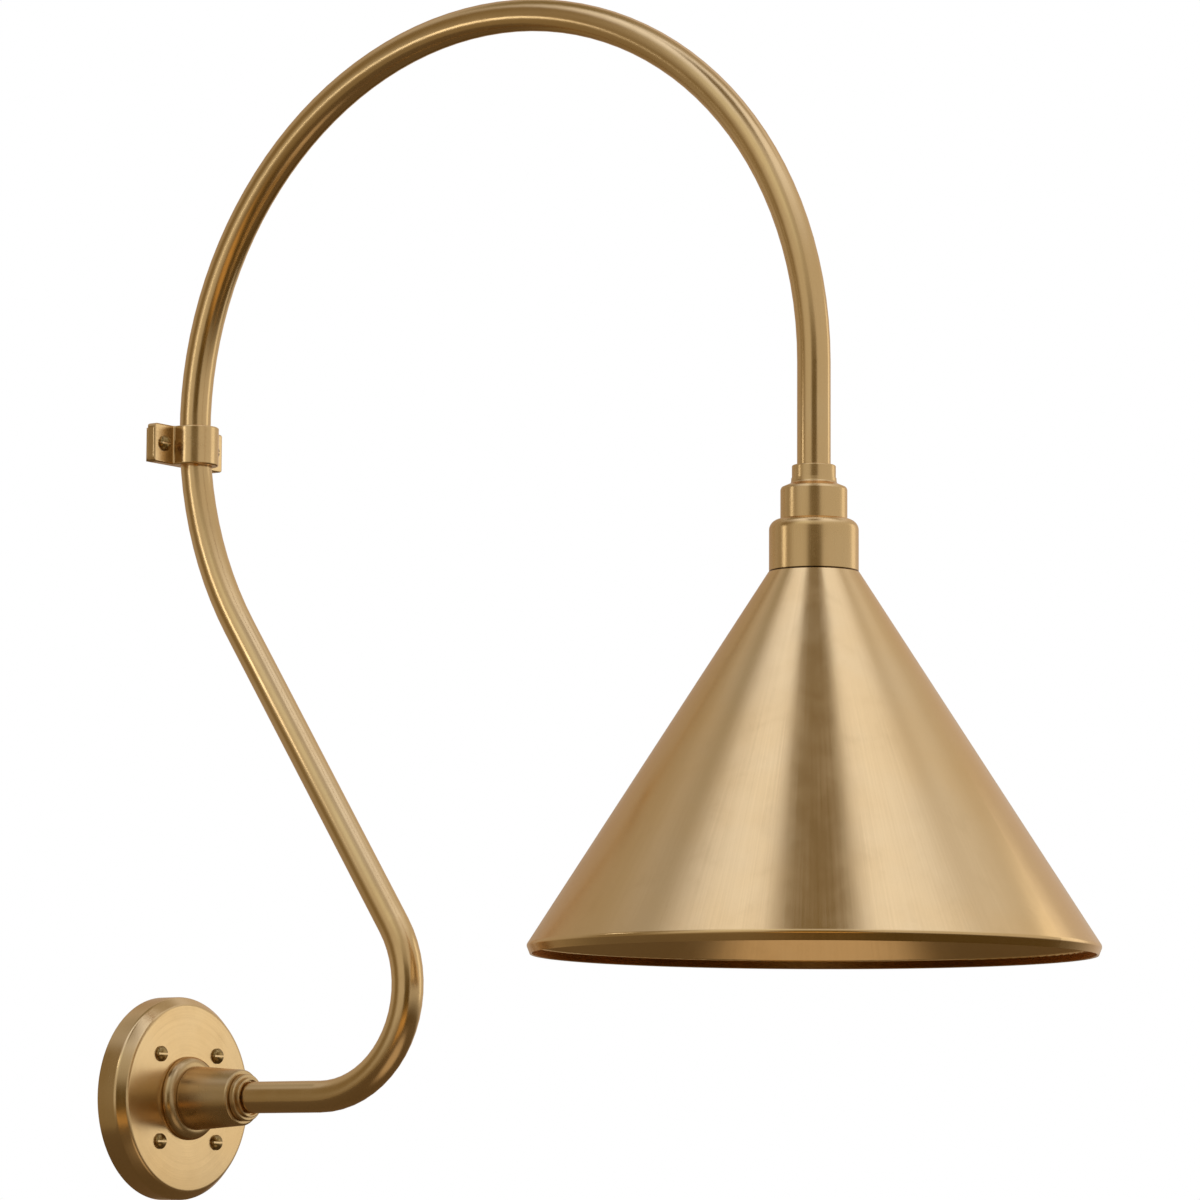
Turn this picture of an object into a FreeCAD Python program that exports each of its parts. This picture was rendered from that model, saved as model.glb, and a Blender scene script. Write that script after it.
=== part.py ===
import FreeCAD, Part
import math
import os
from FreeCAD import Rotation, Vector

# Gooseneck wall sconce.  All sizes are millimetres.  The wall is the plane
# X = 0, +X points away from it, +Z is up, and the origin is the centre of the
# wall plate's back.  The arm bends in the plane Y = 0.

# ------------------------------------------------------------ clearances
fit_gap = 0.1              # radial, between a turned piece and the bore that holds it
thread_gap = 0.1           # radial, between a screw's shank and its tapped hole
bolt_gap = 0.3             # radial, between a screw's shank and a plain hole
cradle_gap = 0.2           # round the arm, inside the clip and its base
seat_gap = 0.2             # between pieces that lie on one another on curved faces
overshoot = 1.0            # how far a cutting tool runs past the face it cuts
flat_tolerance = 0.0001    # an edge lower than this counts as level

# ------------------------------------------------------------ wall plate
plate_d = 123.0
plate_side_depth = 14.0    # the straight side, from the wall to the bevel
plate_depth = 20.0
plate_face_d = 113.2       # the flat front inside the bevel
plate_wall = 2.5
plate_edge_r = 1.2
plate_screw_span = 52.6    # the face screws stand on a square of this side

# ------------------------------------------------------------ round-head slotted screws
screw_d = 4.0
screw_head_d = 9.4
screw_head_h = 3.3
screw_slot_w = 1.3
screw_slot_depth = 1.4
screw_rim_share = 0.3      # the straight rim's share of a round head's height
screw_dome_r_share = 0.72  # a point half way over the dome: its share of the head's radius
screw_dome_h_share = 0.66  # and of the height above the rim
small_slot_w = 0.9         # the slot of every screw inside the wall plate and the head
small_slot_depth = 0.8
screw_tip_gap = 0.6        # the tips stop this short of the wall

# ------------------------------------------------------------ mounting plate behind the wall plate
mounting_t = 2.0
mounting_wire_hole_d = 36.0
box_slot_span = 88.9       # slot to slot, for a round ceiling or wall box
box_slot_w = 4.8
box_slot_length = 12.0
mounting_d = box_slot_span + 17.1
mount_nut_d = 8.0
mount_nut_h = 3.5
mount_nut_edge_r = 0.5
earth_screw_y = 15.0
earth_screw_z = 39.0
earth_screw_d = 3.5
earth_head_d = 8.0
earth_head_h = 2.2
earth_screw_length = 1.6   # what stands in the mounting plate

# ------------------------------------------------------------ hub
hub_ring_d = 50.6
hub_ring_h = 6.4
hub_bead_r = 3.1           # just under half the height, so the bead is almost a half circle
hub_edge_r = 0.6
hub_foot_d = 38.6
hub_end_d = 33.6
hub_length = 43.0          # from the wall plate's face to the end of the tapered boss
hub_tail_d = 20.0
hub_tail_past_nut = 0.5
hub_wire_bore_d = 15.8
hub_socket_depth = 27.0    # how far the arm goes into the boss
hub_end_edge_r = 1.4
washer_d = 30.0
washer_t = 1.2
hub_nut_flats = 28.0
hub_nut_h = 5.0

# ------------------------------------------------------------ arm lock ring
lock_ring_d = 28.4
lock_ring_h = 4.0
lock_tip_d = 24.0
lock_tip_h = 2.0
lock_spigot_d = 25.0
lock_spigot_h = 8.0
lock_mouth_d = 21.4        # the recess round the arm at its exit
lock_mouth_depth = 1.6
lock_edge_r = 0.9
lock_tip_edge_r = 0.5

# ------------------------------------------------------------ gooseneck arm
arm_d = 19.05
arm_wall = 1.6
arm_lower_end_x = 122.5    # where the lower straight meets the lower bend
arm_lower_bend_r = 65.0
arm_lower_turn = 123.3     # degrees
arm_middle_run = 221.5
arm_crown_r = 228.6
arm_drop = 59.4            # from the end of the crown down to the head's collar

# ------------------------------------------------------------ pipe clip
clip_z = 400.0
clip_height = 24.0
clip_half_width = 32.4
clip_back_x = 6.5          # the ears' back, off the wall
clip_ear_t = 6.4
clip_wall = 4.5            # round the arm
clip_corner_r = 3.2
clip_edge_r = 1.3
clip_rim_r = 1.04
clip_front_round = 0.97    # how much of the half-width the two front corners take
clip_root_r = 1.2
clip_screw_y = 23.2
clip_base_half_width = 27.4
clip_base_height = 21.0
clip_base_corner_r = 3.0
clip_cradle_half_width = 8.6
clip_cradle_h = 4.5        # how far the cradle stands up behind the arm

# ------------------------------------------------------------ head: collar, neck, cup
collar_d = 24.9
collar_h = 7.4
collar_edge_r = 0.8
collar_spigot_d = 22.0
collar_spigot_h = 10.5
collar_web_t = 5.0
neck_d = 37.85
neck_h = 23.6
neck_top_d = 25.6
neck_cove_drop = 2.9
neck_cove_d = 26.0
neck_cove_r = 1.8
neck_brow_drop = 5.2
neck_brow_d = 36.6
neck_brow_r = 1.0
neck_edge_drop = 6.6
neck_wall = 1.9
neck_ceiling_t = 10.6
neck_cavity_edge_r = 1.0
cup_d = 50.7
cup_h = 29.7
cup_shoulder_r = 6.0
cup_wall = 1.8
nipple_d = 13.2
nipple_bore_d = 9.2
nut_flats = 19.0
nut_h = 4.0

# ------------------------------------------------------------ lampholder
cap_d = 37.2
cap_top_t = 2.0
cap_wall = 1.2
cap_edge_r = 1.6
cap_inner_edge_r = 0.6
terminal_space = 8.6       # between the cap's ceiling and the porcelain's deck
holder_d = 38.4
holder_h = 36.0
holder_rim_drop = 2.0      # the shoulder that the cap's skirt stands on
holder_floor_t = 7.0
holder_bore_d = 28.6
holder_mouth_chamfer = 0.8
holder_deck_edge_r = 0.6
holder_rim_edge_r = 0.5
holder_foot_edge_r = 0.8
holder_screw_d = 3.0
holder_screw_head_d = 5.0
holder_screw_head_h = 1.6
holder_screw_radius = 14.4
holder_screw_bite = 5.5
shell_bore_d = 27.0
shell_t = 0.5
shell_length = 25.5
shell_hole_d = 18.0
contact_d = 7.0
contact_h = 1.5
contact_disc_h = 0.6       # then a short cone, then the stud
contact_cone_end = 0.9
contact_stud_d = 4.2
terminal_reach = 11.0
terminal_side = 2.1        # the wire passes this far beside the screw's axis
terminal_plate_w = 7.0
terminal_plate_l = 6.0
terminal_plate_t = 0.8
terminal_screw_d = 3.0
terminal_head_d = 6.0
terminal_head_h = 1.8
terminal_screw_bite = 4.5
terminal_wire_space = 1.2  # between plate and screw head, where the wire is held

# ------------------------------------------------------------ shade
shade_fold_d = 322.0       # the widest line, where the cone turns in
shade_cone_h = 211.2
shade_lip_d = 318.0
shade_lip_h = 5.0
shade_top_d = 51.2
shade_t = 1.2
shade_top_edge_r = 1.3
shade_fold_r = 2.4
shade_ring_d = 47.0
shade_ring_h = 5.0
shade_ring_edge_r = 0.8

# ------------------------------------------------------------ bulb
bulb_length = 108.0
bulb_d = 60.0
bulb_contact_gap = 0.2     # under the lampholder's centre contact
bulb_cap_d = 26.2
bulb_cap_h = 22.5
bulb_cap_t = 0.5
bulb_cap_cone_h = 2.5
bulb_cap_edge_r = 1.5
bulb_cap_hole_d = 12.0
bulb_neck_in_cap = 4.5
bulb_glass_t = 0.9
bulb_throat_drop = 4.0     # from the cap's rim to where the glass starts to widen
bulb_throat_r = 10.0
bulb_insulator_h = 3.0
bulb_insulator_d = 19.0
bulb_plug_inset = 1.0      # how much slimmer the plug is than the hole in the cap
bulb_insulator_inset = 2.0 # from its full radius to the top edge of its cone
bulb_insulator_tip_r = 0.5
bulb_contact_d = 8.0
bulb_contact_h = 1.4
bulb_contact_foot_inset = 0.3
bulb_contact_tip_inset = 1.0
bulb_contact_edge_r = 0.6

# ------------------------------------------------------------ leads
lead_d = 2.3
lead_spacing = 2.5         # centre to centre, side by side in the arm
lead_bend_r = 6.0          # behind the hub
lead_end_bend_r = 4.0      # at the lampholder
lead_x = 6.5               # how far off the wall the leads lie in the plate
lead_reach = 30.0          # from the hub's axis to each lead's end
wire_d = 1.0               # the bare end under a terminal screw
wire_length = 4.6
earth_stub = 2.5           # straight insulated length before the earth's bare end
connector_d = 8.4
connector_tip_d = 6.0
connector_length = 17.0
connector_bore_depth = 9.0
connector_tip_r = 1.5
connector_edge_r = 0.6

# ------------------------------------------------------------ places worked out from the sizes above
X_AXIS = Vector(1, 0, 0)
Y_AXIS = Vector(0, 1, 0)
Z_AXIS = Vector(0, 0, 1)
ORIGIN = Vector(0, 0, 0)

arm_r = arm_d / 2
plate_inside_x = plate_depth - plate_wall
hub_shoulder_x = plate_depth + hub_ring_h
hub_end_x = plate_depth + hub_length
washer_back_x = plate_inside_x - washer_t
hub_nut_back_x = washer_back_x - hub_nut_h
hub_tail_x = hub_nut_back_x - hub_tail_past_nut
arm_start_x = hub_end_x - hub_socket_depth

turn = math.radians(arm_lower_turn)
middle_start_x = arm_lower_end_x + arm_lower_bend_r * math.sin(turn)
middle_start_z = arm_lower_bend_r * (1 - math.cos(turn))
middle_end_x = middle_start_x + arm_middle_run * math.cos(turn)
middle_end_z = middle_start_z + arm_middle_run * math.sin(turn)
crown_x = middle_end_x + arm_crown_r * math.sin(turn)
crown_z = middle_end_z - arm_crown_r * math.cos(turn)
head_x = crown_x + arm_crown_r

collar_top_z = crown_z - arm_drop
neck_top_z = collar_top_z - collar_h
collar_foot_z = neck_top_z - collar_spigot_h
arm_end_z = collar_foot_z + collar_web_t
cup_top_z = neck_top_z - neck_h
seam_z = cup_top_z - cup_h
cup_ceiling_z = cup_top_z - cup_wall
cap_top_z = cup_ceiling_z - nut_h
cap_ceiling_z = cap_top_z - cap_top_t
deck_z = cap_ceiling_z - terminal_space
holder_foot_z = deck_z - holder_h
socket_floor_z = deck_z - holder_floor_t
contact_z = socket_floor_z - contact_h
bulb_tip_z = contact_z - bulb_contact_gap
bulb_cap_top_z = bulb_tip_z - bulb_contact_h - bulb_insulator_h
bulb_cap_foot_z = bulb_cap_top_z - bulb_cap_h
bulb_centre_z = bulb_tip_z - bulb_length + bulb_d / 2
fold_z = seam_z - shade_cone_h
lip_z = fold_z - shade_lip_h
wire_z = deck_z + terminal_plate_t + terminal_wire_space / 2
earth_wire_z = cap_ceiling_z - terminal_plate_t - terminal_wire_space / 2
earth_x = head_x + lead_end_bend_r + earth_stub + terminal_head_d / 2 + seat_gap


# ------------------------------------------------------------ shaping helpers
def rounded_wire(corners, place):
    """Closed outline through (a, b) or (a, b, radius) corners, set in space by place(a, b)."""
    starts, ends, arcs = [], [], []
    count = len(corners)
    for i, corner in enumerate(corners):
        here = Vector(corner[0], corner[1], 0)
        radius = corner[2] if len(corner) > 2 else 0
        if radius <= 0:
            starts.append(here)
            ends.append(here)
            arcs.append(None)
            continue
        before = corners[i - 1]
        after = corners[(i + 1) % count]
        to_before = (Vector(before[0], before[1], 0) - here).normalize()
        to_after = (Vector(after[0], after[1], 0) - here).normalize()
        half = to_before.getAngle(to_after) / 2
        bisector = (to_before + to_after).normalize()
        cut = radius / math.tan(half)
        starts.append(here + to_before * cut)
        ends.append(here + to_after * cut)
        arcs.append(here + bisector * (radius / math.sin(half) - radius))
    edges = []
    for i in range(count):
        if arcs[i] is not None:
            points = [place(p.x, p.y) for p in (starts[i], arcs[i], ends[i])]
            edges.append(Part.Arc(*points).toShape())
        a = place(ends[i].x, ends[i].y)
        b = place(starts[(i + 1) % count].x, starts[(i + 1) % count].y)
        if (b - a).Length > flat_tolerance:
            edges.append(Part.makeLine(a, b))
    return Part.Wire(edges)


def turned(corners, foot, axis, side):
    """Solid turned about an axis; corners are (along the axis, radius[, rounding])."""
    def place(along, radius):
        return foot + axis * along + side * radius
    return Part.Face(rounded_wire(corners, place)).revolve(foot, axis, 360)


def turned_on_hub(corners):
    """Turned about the hub's axis; corners are (x, radius[, rounding])."""
    return turned(corners, ORIGIN, X_AXIS, Z_AXIS)


def turned_on_head(corners):
    """Turned about the head's upright axis; corners are (z, radius[, rounding])."""
    return turned(corners, Vector(head_x, 0, 0), Z_AXIS, X_AXIS)


def sheet_corners(line, thickness):
    """Closed corners of a sheet whose outer face follows the open line, thickened to its right."""
    points = [Vector(c[0], c[1], 0) for c in line]
    radii = [c[2] if len(c) > 2 else 0 for c in line]
    normals = []
    for a, b in zip(points, points[1:]):
        run = (b - a).normalize()
        normals.append(Vector(run.y, -run.x, 0))
    inner = [(points[0] + normals[0] * thickness, 0)]
    for i in range(1, len(points) - 1):
        middle = (normals[i - 1] + normals[i]).normalize()
        reach = thickness / middle.dot(normals[i])
        turns_right = normals[i - 1].cross(normals[i]).z < 0
        radius = radii[i] - thickness if turns_right else radii[i] + thickness
        inner.append((points[i] + middle * reach, max(radius, 0) if radii[i] else 0))
    inner.append((points[-1] + normals[-1] * thickness, 0))
    outer = [(p.x, p.y, r) for p, r in zip(points, radii)]
    return outer + [(p.x, p.y, r) for p, r in reversed(inner)]


def cylinder(radius, start, end):
    run = end - start
    return Part.makeCylinder(radius, run.Length, start, run)


def hex_nut(flats, height, bore_r, foot, axis, side):
    """Hexagonal nut standing on its foot along the axis, one flat facing side."""
    corner_r = flats / 2 / math.cos(math.pi / 6)
    points = []
    for i in range(7):
        turn_by = Rotation(axis, 60 * i + 30)
        points.append(foot + turn_by.multVec(side) * corner_r)
    blank = Part.Face(Part.makePolygon(points)).extrude(axis * height)
    chamfer = corner_r - flats / 2
    bevelled = turned(
        [(0, 0), (0, corner_r - chamfer / 2), (chamfer / 2, corner_r + overshoot),
         (height - chamfer / 2, corner_r + overshoot), (height, corner_r - chamfer / 2), (height, 0)],
        foot, axis, side)
    bore = cylinder(bore_r, foot - axis * overshoot, foot + axis * (height + overshoot))
    return blank.common(bevelled).cut(bore)


def round_head_screw(seat, axis, side, sizes, length):
    """Slotted screw whose domed head stands on seat along the axis; the slot runs along side."""
    shank_d, head_d, head_h, slot_w, slot_depth = sizes
    head_r = head_d / 2
    rim_h = head_h * screw_rim_share
    dome_mid_r = head_r * screw_dome_r_share
    dome_mid_h = rim_h + (head_h - rim_h) * screw_dome_h_share
    corner = [seat, seat + side * head_r, seat + side * head_r + axis * rim_h]
    crown = seat + axis * head_h
    edges = [
        Part.makeLine(corner[0], corner[1]),
        Part.makeLine(corner[1], corner[2]),
        Part.Arc(corner[2], seat + side * dome_mid_r + axis * dome_mid_h, crown).toShape(),
        Part.makeLine(crown, corner[0]),
    ]
    head = Part.Face(Part.Wire(edges)).revolve(seat, axis, 360)
    across = axis.cross(side)
    slot_corner = crown - axis * slot_depth - side * head_d - across * (slot_w / 2)
    slot_face = Part.makePolygon([
        slot_corner, slot_corner + side * 2 * head_d,
        slot_corner + side * 2 * head_d + across * slot_w,
        slot_corner + across * slot_w, slot_corner])
    slot = Part.Face(slot_face).extrude(axis * (slot_depth + overshoot))
    shank = cylinder(shank_d / 2, seat, seat - axis * length)
    return head.cut(slot).fuse(shank)


def route(start, heading, steps):
    """Edges along straight runs (length,) and bends (radius, degrees, axis), each tangent to the last."""
    edges = []
    here, along = start, heading
    for step in steps:
        if len(step) == 1:
            there = here + along * step[0]
            edges.append(Part.makeLine(here, there))
            here = there
            continue
        radius, degrees, axis = step
        centre = here + axis.cross(along) * radius
        spoke = here - centre
        middle = centre + Rotation(axis, degrees / 2).multVec(spoke)
        there = centre + Rotation(axis, degrees).multVec(spoke)
        edges.append(Part.Arc(here, middle, there).toShape())
        along = Rotation(axis, degrees).multVec(along)
        here = there
    return edges


def swept_round(edges, radius, heading):
    """Round bar along a route that sets out along heading."""
    start = edges[0].Vertexes[0].Point
    circle = Part.Wire(Part.Circle(start, heading, radius).toShape())
    return Part.Wire(edges).makePipeShell([circle], True, False)


def slotted_disc_cut(y, z):
    """Upright slot through the mounting plate, centred at (y, z)."""
    half_run = (box_slot_length - box_slot_w) / 2
    radius = box_slot_w / 2
    ends = [Vector(-overshoot, y, z + s * half_run) for s in (-1, 1)]
    through = X_AXIS * (mounting_t + 2 * overshoot)
    cut = Part.makeBox(mounting_t + 2 * overshoot, box_slot_w, 2 * half_run, ends[0] - Y_AXIS * radius)
    for end in ends:
        cut = cut.fuse(cylinder(radius, end, end + through))
    return cut


def plate_screw_places():
    half = plate_screw_span / 2
    return [(y, z) for y in (-half, half) for z in (-half, half)]


# ------------------------------------------------------------ wall plate and what stands behind it
def wall_plate():
    """Hollow turned dish: straight side, bevel and flat face, open to the wall."""
    line = [
        (0, plate_d / 2),
        (plate_side_depth, plate_d / 2, plate_edge_r),
        (plate_depth, plate_face_d / 2, plate_edge_r),
        (plate_depth, hub_tail_d / 2 + fit_gap),
    ]
    dish = turned_on_hub(sheet_corners(line, plate_wall))
    for y, z in plate_screw_places():
        hole = cylinder(screw_d / 2 + bolt_gap,
                        Vector(plate_inside_x - overshoot, y, z), Vector(plate_depth + overshoot, y, z))
        dish = dish.cut(hole)
    return dish


def mounting_plate():
    """Stamped disc on the wall box: wire hole, two slots, four nut holes and an earth hole."""
    plate = turned_on_hub([(0, mounting_wire_hole_d / 2), (0, mounting_d / 2),
                           (mounting_t, mounting_d / 2), (mounting_t, mounting_wire_hole_d / 2)])
    for z in (-box_slot_span / 2, box_slot_span / 2):
        plate = plate.cut(slotted_disc_cut(0, z))
    holes = [(y, z, screw_d / 2 + bolt_gap) for y, z in plate_screw_places()]
    holes.append((earth_screw_y, earth_screw_z, earth_screw_d / 2 + thread_gap))
    for y, z, radius in holes:
        plate = plate.cut(cylinder(radius, Vector(-overshoot, y, z), Vector(mounting_t + overshoot, y, z)))
    return plate


def mount_nuts():
    """Round nuts riveted on the mounting plate, one behind each face screw."""
    nuts = []
    for y, z in plate_screw_places():
        foot = Vector(mounting_t, y, z)
        bore_r = screw_d / 2 + thread_gap
        nuts.append(turned([
            (0, bore_r), (0, mount_nut_d / 2), (mount_nut_h, mount_nut_d / 2, mount_nut_edge_r),
            (mount_nut_h, bore_r)], foot, X_AXIS, Z_AXIS))
    return Part.makeCompound(nuts)


def earth_screw():
    sizes = (earth_screw_d, earth_head_d, earth_head_h, small_slot_w, small_slot_depth)
    seat = Vector(mounting_t, earth_screw_y, earth_screw_z)
    return round_head_screw(seat, X_AXIS, Y_AXIS, sizes, earth_screw_length)


def plate_screws():
    """The four slotted screws in the face, down to the mounting plate."""
    sizes = (screw_d, screw_head_d, screw_head_h, screw_slot_w, screw_slot_depth)
    screws = []
    for y, z in plate_screw_places():
        seat = Vector(plate_depth, y, z)
        screws.append(round_head_screw(seat, X_AXIS, Y_AXIS, sizes, plate_depth - screw_tip_gap))
    return Part.makeCompound(screws)


# ------------------------------------------------------------ hub
def hub_base_ring():
    """Half-round bead between the wall plate and the boss."""
    bore_r = hub_tail_d / 2 + fit_gap
    return turned_on_hub([(plate_depth, bore_r), (plate_depth, hub_ring_d / 2, hub_bead_r),
                          (hub_shoulder_x, hub_ring_d / 2, hub_bead_r), (hub_shoulder_x, bore_r)])


def hub_body():
    """Tapered boss with a threaded tail through the plate and a stepped bore for arm and lock ring."""
    spigot_bore_x = hub_end_x - lock_spigot_h - seat_gap
    return turned_on_hub([
        (hub_tail_x, hub_wire_bore_d / 2),
        (hub_tail_x, hub_tail_d / 2, hub_edge_r),
        (hub_shoulder_x, hub_tail_d / 2),
        (hub_shoulder_x, hub_foot_d / 2, hub_edge_r),
        (hub_end_x, hub_end_d / 2, hub_end_edge_r),
        (hub_end_x, lock_spigot_d / 2 + thread_gap),
        (spigot_bore_x, lock_spigot_d / 2 + thread_gap),
        (spigot_bore_x, arm_r + fit_gap),
        (arm_start_x, arm_r + fit_gap),
        (arm_start_x, hub_wire_bore_d / 2),
    ])


def hub_washer():
    bore_r = hub_tail_d / 2 + bolt_gap
    return turned_on_hub([(washer_back_x, bore_r), (washer_back_x, washer_d / 2),
                          (plate_inside_x, washer_d / 2), (plate_inside_x, bore_r)])


def hub_lock_nut():
    foot = Vector(hub_nut_back_x, 0, 0)
    return hex_nut(hub_nut_flats, hub_nut_h, hub_tail_d / 2 + thread_gap, foot, X_AXIS, Z_AXIS)


def arm_lock_ring():
    """Two-step ring screwed into the boss round the arm."""
    spigot_x = hub_end_x - lock_spigot_h
    ring_x = hub_end_x + lock_ring_h
    tip_x = ring_x + lock_tip_h
    return turned_on_hub([
        (spigot_x, arm_r + fit_gap),
        (spigot_x, lock_spigot_d / 2),
        (hub_end_x, lock_spigot_d / 2),
        (hub_end_x, lock_ring_d / 2, lock_edge_r),
        (ring_x, lock_ring_d / 2, lock_edge_r),
        (ring_x, lock_tip_d / 2),
        (tip_x, lock_tip_d / 2, lock_tip_edge_r),
        (tip_x, lock_mouth_d / 2),
        (tip_x - lock_mouth_depth, lock_mouth_d / 2),
        (tip_x - lock_mouth_depth, arm_r + fit_gap),
    ])


# ------------------------------------------------------------ arm and leads
def arm_steps(start_x, end_z):
    """The gooseneck's route from start_x on the lower straight to end_z in the head."""
    return [
        (arm_lower_end_x - start_x,),
        (arm_lower_bend_r, arm_lower_turn, -Y_AXIS),
        (arm_middle_run,),
        (arm_crown_r, arm_lower_turn + 90, Y_AXIS),
        (crown_z - end_z,),
    ]


def arm_bar(radius):
    """Round bar along the whole arm."""
    edges = route(Vector(arm_start_x, 0, 0), X_AXIS, arm_steps(arm_start_x, arm_end_z))
    return swept_round(edges, radius, X_AXIS)


def gooseneck_arm():
    """Bent round tube: straight, tight lower bend, straight, wide crown, drop."""
    return arm_bar(arm_r).cut(arm_bar(arm_r - arm_wall))


def lead(start, heading, first_axis, offset_y, end_z, last_axis, stub):
    """One insulated lead from its connector behind the hub to its terminal, with its bare end."""
    bend_x = lead_x + lead_bend_r
    reach = (start - Vector(start.x, offset_y, 0)).Length - lead_bend_r
    steps = [(reach,), (lead_bend_r, 90, first_axis)]
    steps += arm_steps(bend_x, end_z + lead_end_bend_r)
    steps += [(lead_end_bend_r, 90, last_axis), (stub,)]
    edges = route(start, heading, steps)
    insulated = swept_round(edges, lead_d / 2, heading)
    tip = edges[-1].Vertexes[-1].Point
    out = last_axis.cross(Z_AXIS).negative()
    return insulated.fuse(cylinder(wire_d / 2, tip, tip + out * wire_length))


def side_lead(side):
    """Live or neutral lead, on the side -1 or +1 of the arm's plane."""
    offset_y = side * lead_spacing
    start = Vector(lead_x, side * lead_reach, 0)
    stub = terminal_reach - terminal_head_d / 2 - lead_spacing - lead_end_bend_r - seat_gap
    return lead(start, -Y_AXIS * side, Z_AXIS * side, offset_y, wire_z, X_AXIS * side, stub)


def earth_lead():
    start = Vector(lead_x, 0, -lead_reach)
    return lead(start, Z_AXIS, Y_AXIS, 0, earth_wire_z, -Y_AXIS, earth_stub)


def wire_connectors():
    """Three twist-on caps in the wall plate, one on the end of each lead."""
    bore_r = lead_d / 2 + fit_gap
    corners = [
        (0, bore_r), (0, connector_d / 2, connector_edge_r),
        (connector_length, connector_tip_d / 2, connector_tip_r), (connector_length, 0),
        (connector_bore_depth, 0), (connector_bore_depth, bore_r),
    ]
    mouth = lead_reach - connector_bore_depth + fit_gap
    caps = []
    for away in (-Y_AXIS, Y_AXIS, -Z_AXIS):
        foot = Vector(lead_x, 0, 0) + away * mouth
        caps.append(turned(corners, foot, away, X_AXIS))
    return Part.makeCompound(caps)


# ------------------------------------------------------------ pipe clip
def arm_centre_x(z):
    """Where the crown's centre line passes the height z, on the wall's side."""
    return crown_x - math.sqrt(arm_crown_r ** 2 - (z - crown_z) ** 2)


def arm_channel():
    """What the clip leaves free for the arm: a U, round in front, swept along the crown's curve."""
    radius = arm_r + cradle_gap
    centre_x = crown_x - arm_crown_r
    back_x = -overshoot
    outline = Part.Wire([
        Part.makeLine(Vector(centre_x, radius, crown_z), Vector(back_x, radius, crown_z)),
        Part.makeLine(Vector(back_x, radius, crown_z), Vector(back_x, -radius, crown_z)),
        Part.makeLine(Vector(back_x, -radius, crown_z), Vector(centre_x, -radius, crown_z)),
        Part.Arc(Vector(centre_x, -radius, crown_z), Vector(centre_x + radius, 0, crown_z),
                 Vector(centre_x, radius, crown_z)).toShape(),
    ])
    crown_centre = Vector(crown_x, 0, crown_z)
    spread = math.degrees(math.asin((abs(clip_z - crown_z) + clip_height) / arm_crown_r))
    face = Part.Face(outline)
    face.rotate(crown_centre, Y_AXIS, -spread)
    return face.revolve(crown_centre, Y_AXIS, 2 * spread)


def clip_saddle():
    """Cast strap: two flat ears and a deep saddle formed round the arm."""
    centre_x = arm_centre_x(clip_z)
    half = arm_r + cradle_gap + clip_wall
    front_x = clip_back_x + clip_ear_t
    crown_front_x = centre_x + half
    outline = rounded_wire([
        (clip_back_x, -clip_half_width, clip_edge_r),
        (front_x, -clip_half_width, clip_edge_r),
        (front_x, -half, clip_root_r),
        (crown_front_x, -half, half * clip_front_round),
        (crown_front_x, half, half * clip_front_round),
        (front_x, half, clip_root_r),
        (front_x, clip_half_width, clip_edge_r),
        (clip_back_x, clip_half_width, clip_edge_r),
    ], lambda x, y: Vector(x, y, clip_z - clip_height / 2))
    saddle = Part.Face(outline).extrude(Z_AXIS * clip_height)
    rims = [e for e in saddle.Edges if e.BoundBox.ZLength < flat_tolerance]
    saddle = saddle.makeFillet(clip_rim_r, rims)
    face_outline = rounded_wire([
        (-clip_half_width, -clip_height / 2, clip_corner_r),
        (clip_half_width, -clip_height / 2, clip_corner_r),
        (clip_half_width, clip_height / 2, clip_corner_r),
        (-clip_half_width, clip_height / 2, clip_corner_r),
    ], lambda y, z: Vector(0, y, clip_z + z))
    saddle = saddle.common(Part.Face(face_outline).extrude(X_AXIS * (crown_front_x + overshoot)))
    saddle = saddle.cut(arm_channel())
    for y in (-clip_screw_y, clip_screw_y):
        saddle = saddle.cut(cylinder(screw_d / 2 + bolt_gap, Vector(0, y, clip_z),
                                     Vector(front_x + overshoot, y, clip_z)))
    return saddle


def clip_base():
    """Block between wall and ears, with a cradle behind the arm."""
    block_face = rounded_wire([
        (-clip_base_half_width, -clip_base_height / 2, clip_base_corner_r),
        (clip_base_half_width, -clip_base_height / 2, clip_base_corner_r),
        (clip_base_half_width, clip_base_height / 2, clip_base_corner_r),
        (-clip_base_half_width, clip_base_height / 2, clip_base_corner_r),
    ], lambda y, z: Vector(0, y, clip_z + z))
    block = Part.Face(block_face).extrude(X_AXIS * clip_back_x)
    cradle = Part.makeBox(clip_cradle_h, 2 * clip_cradle_half_width, clip_base_height,
                          Vector(clip_back_x, -clip_cradle_half_width, clip_z - clip_base_height / 2))
    base = block.fuse(cradle).cut(arm_bar(arm_r + cradle_gap))
    for y in (-clip_screw_y, clip_screw_y):
        base = base.cut(cylinder(screw_d / 2 + bolt_gap, Vector(-overshoot, y, clip_z),
                                 Vector(clip_back_x + overshoot, y, clip_z)))
    return base


def clip_screws():
    """Two slotted screws through the ears and the base, ending at the wall."""
    sizes = (screw_d, screw_head_d, screw_head_h, screw_slot_w, screw_slot_depth)
    front_x = clip_back_x + clip_ear_t
    screws = []
    for y in (-clip_screw_y, clip_screw_y):
        seat = Vector(front_x, y, clip_z)
        screws.append(round_head_screw(seat, X_AXIS, Y_AXIS, sizes, front_x - screw_tip_gap))
    return Part.makeCompound(screws)


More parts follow.
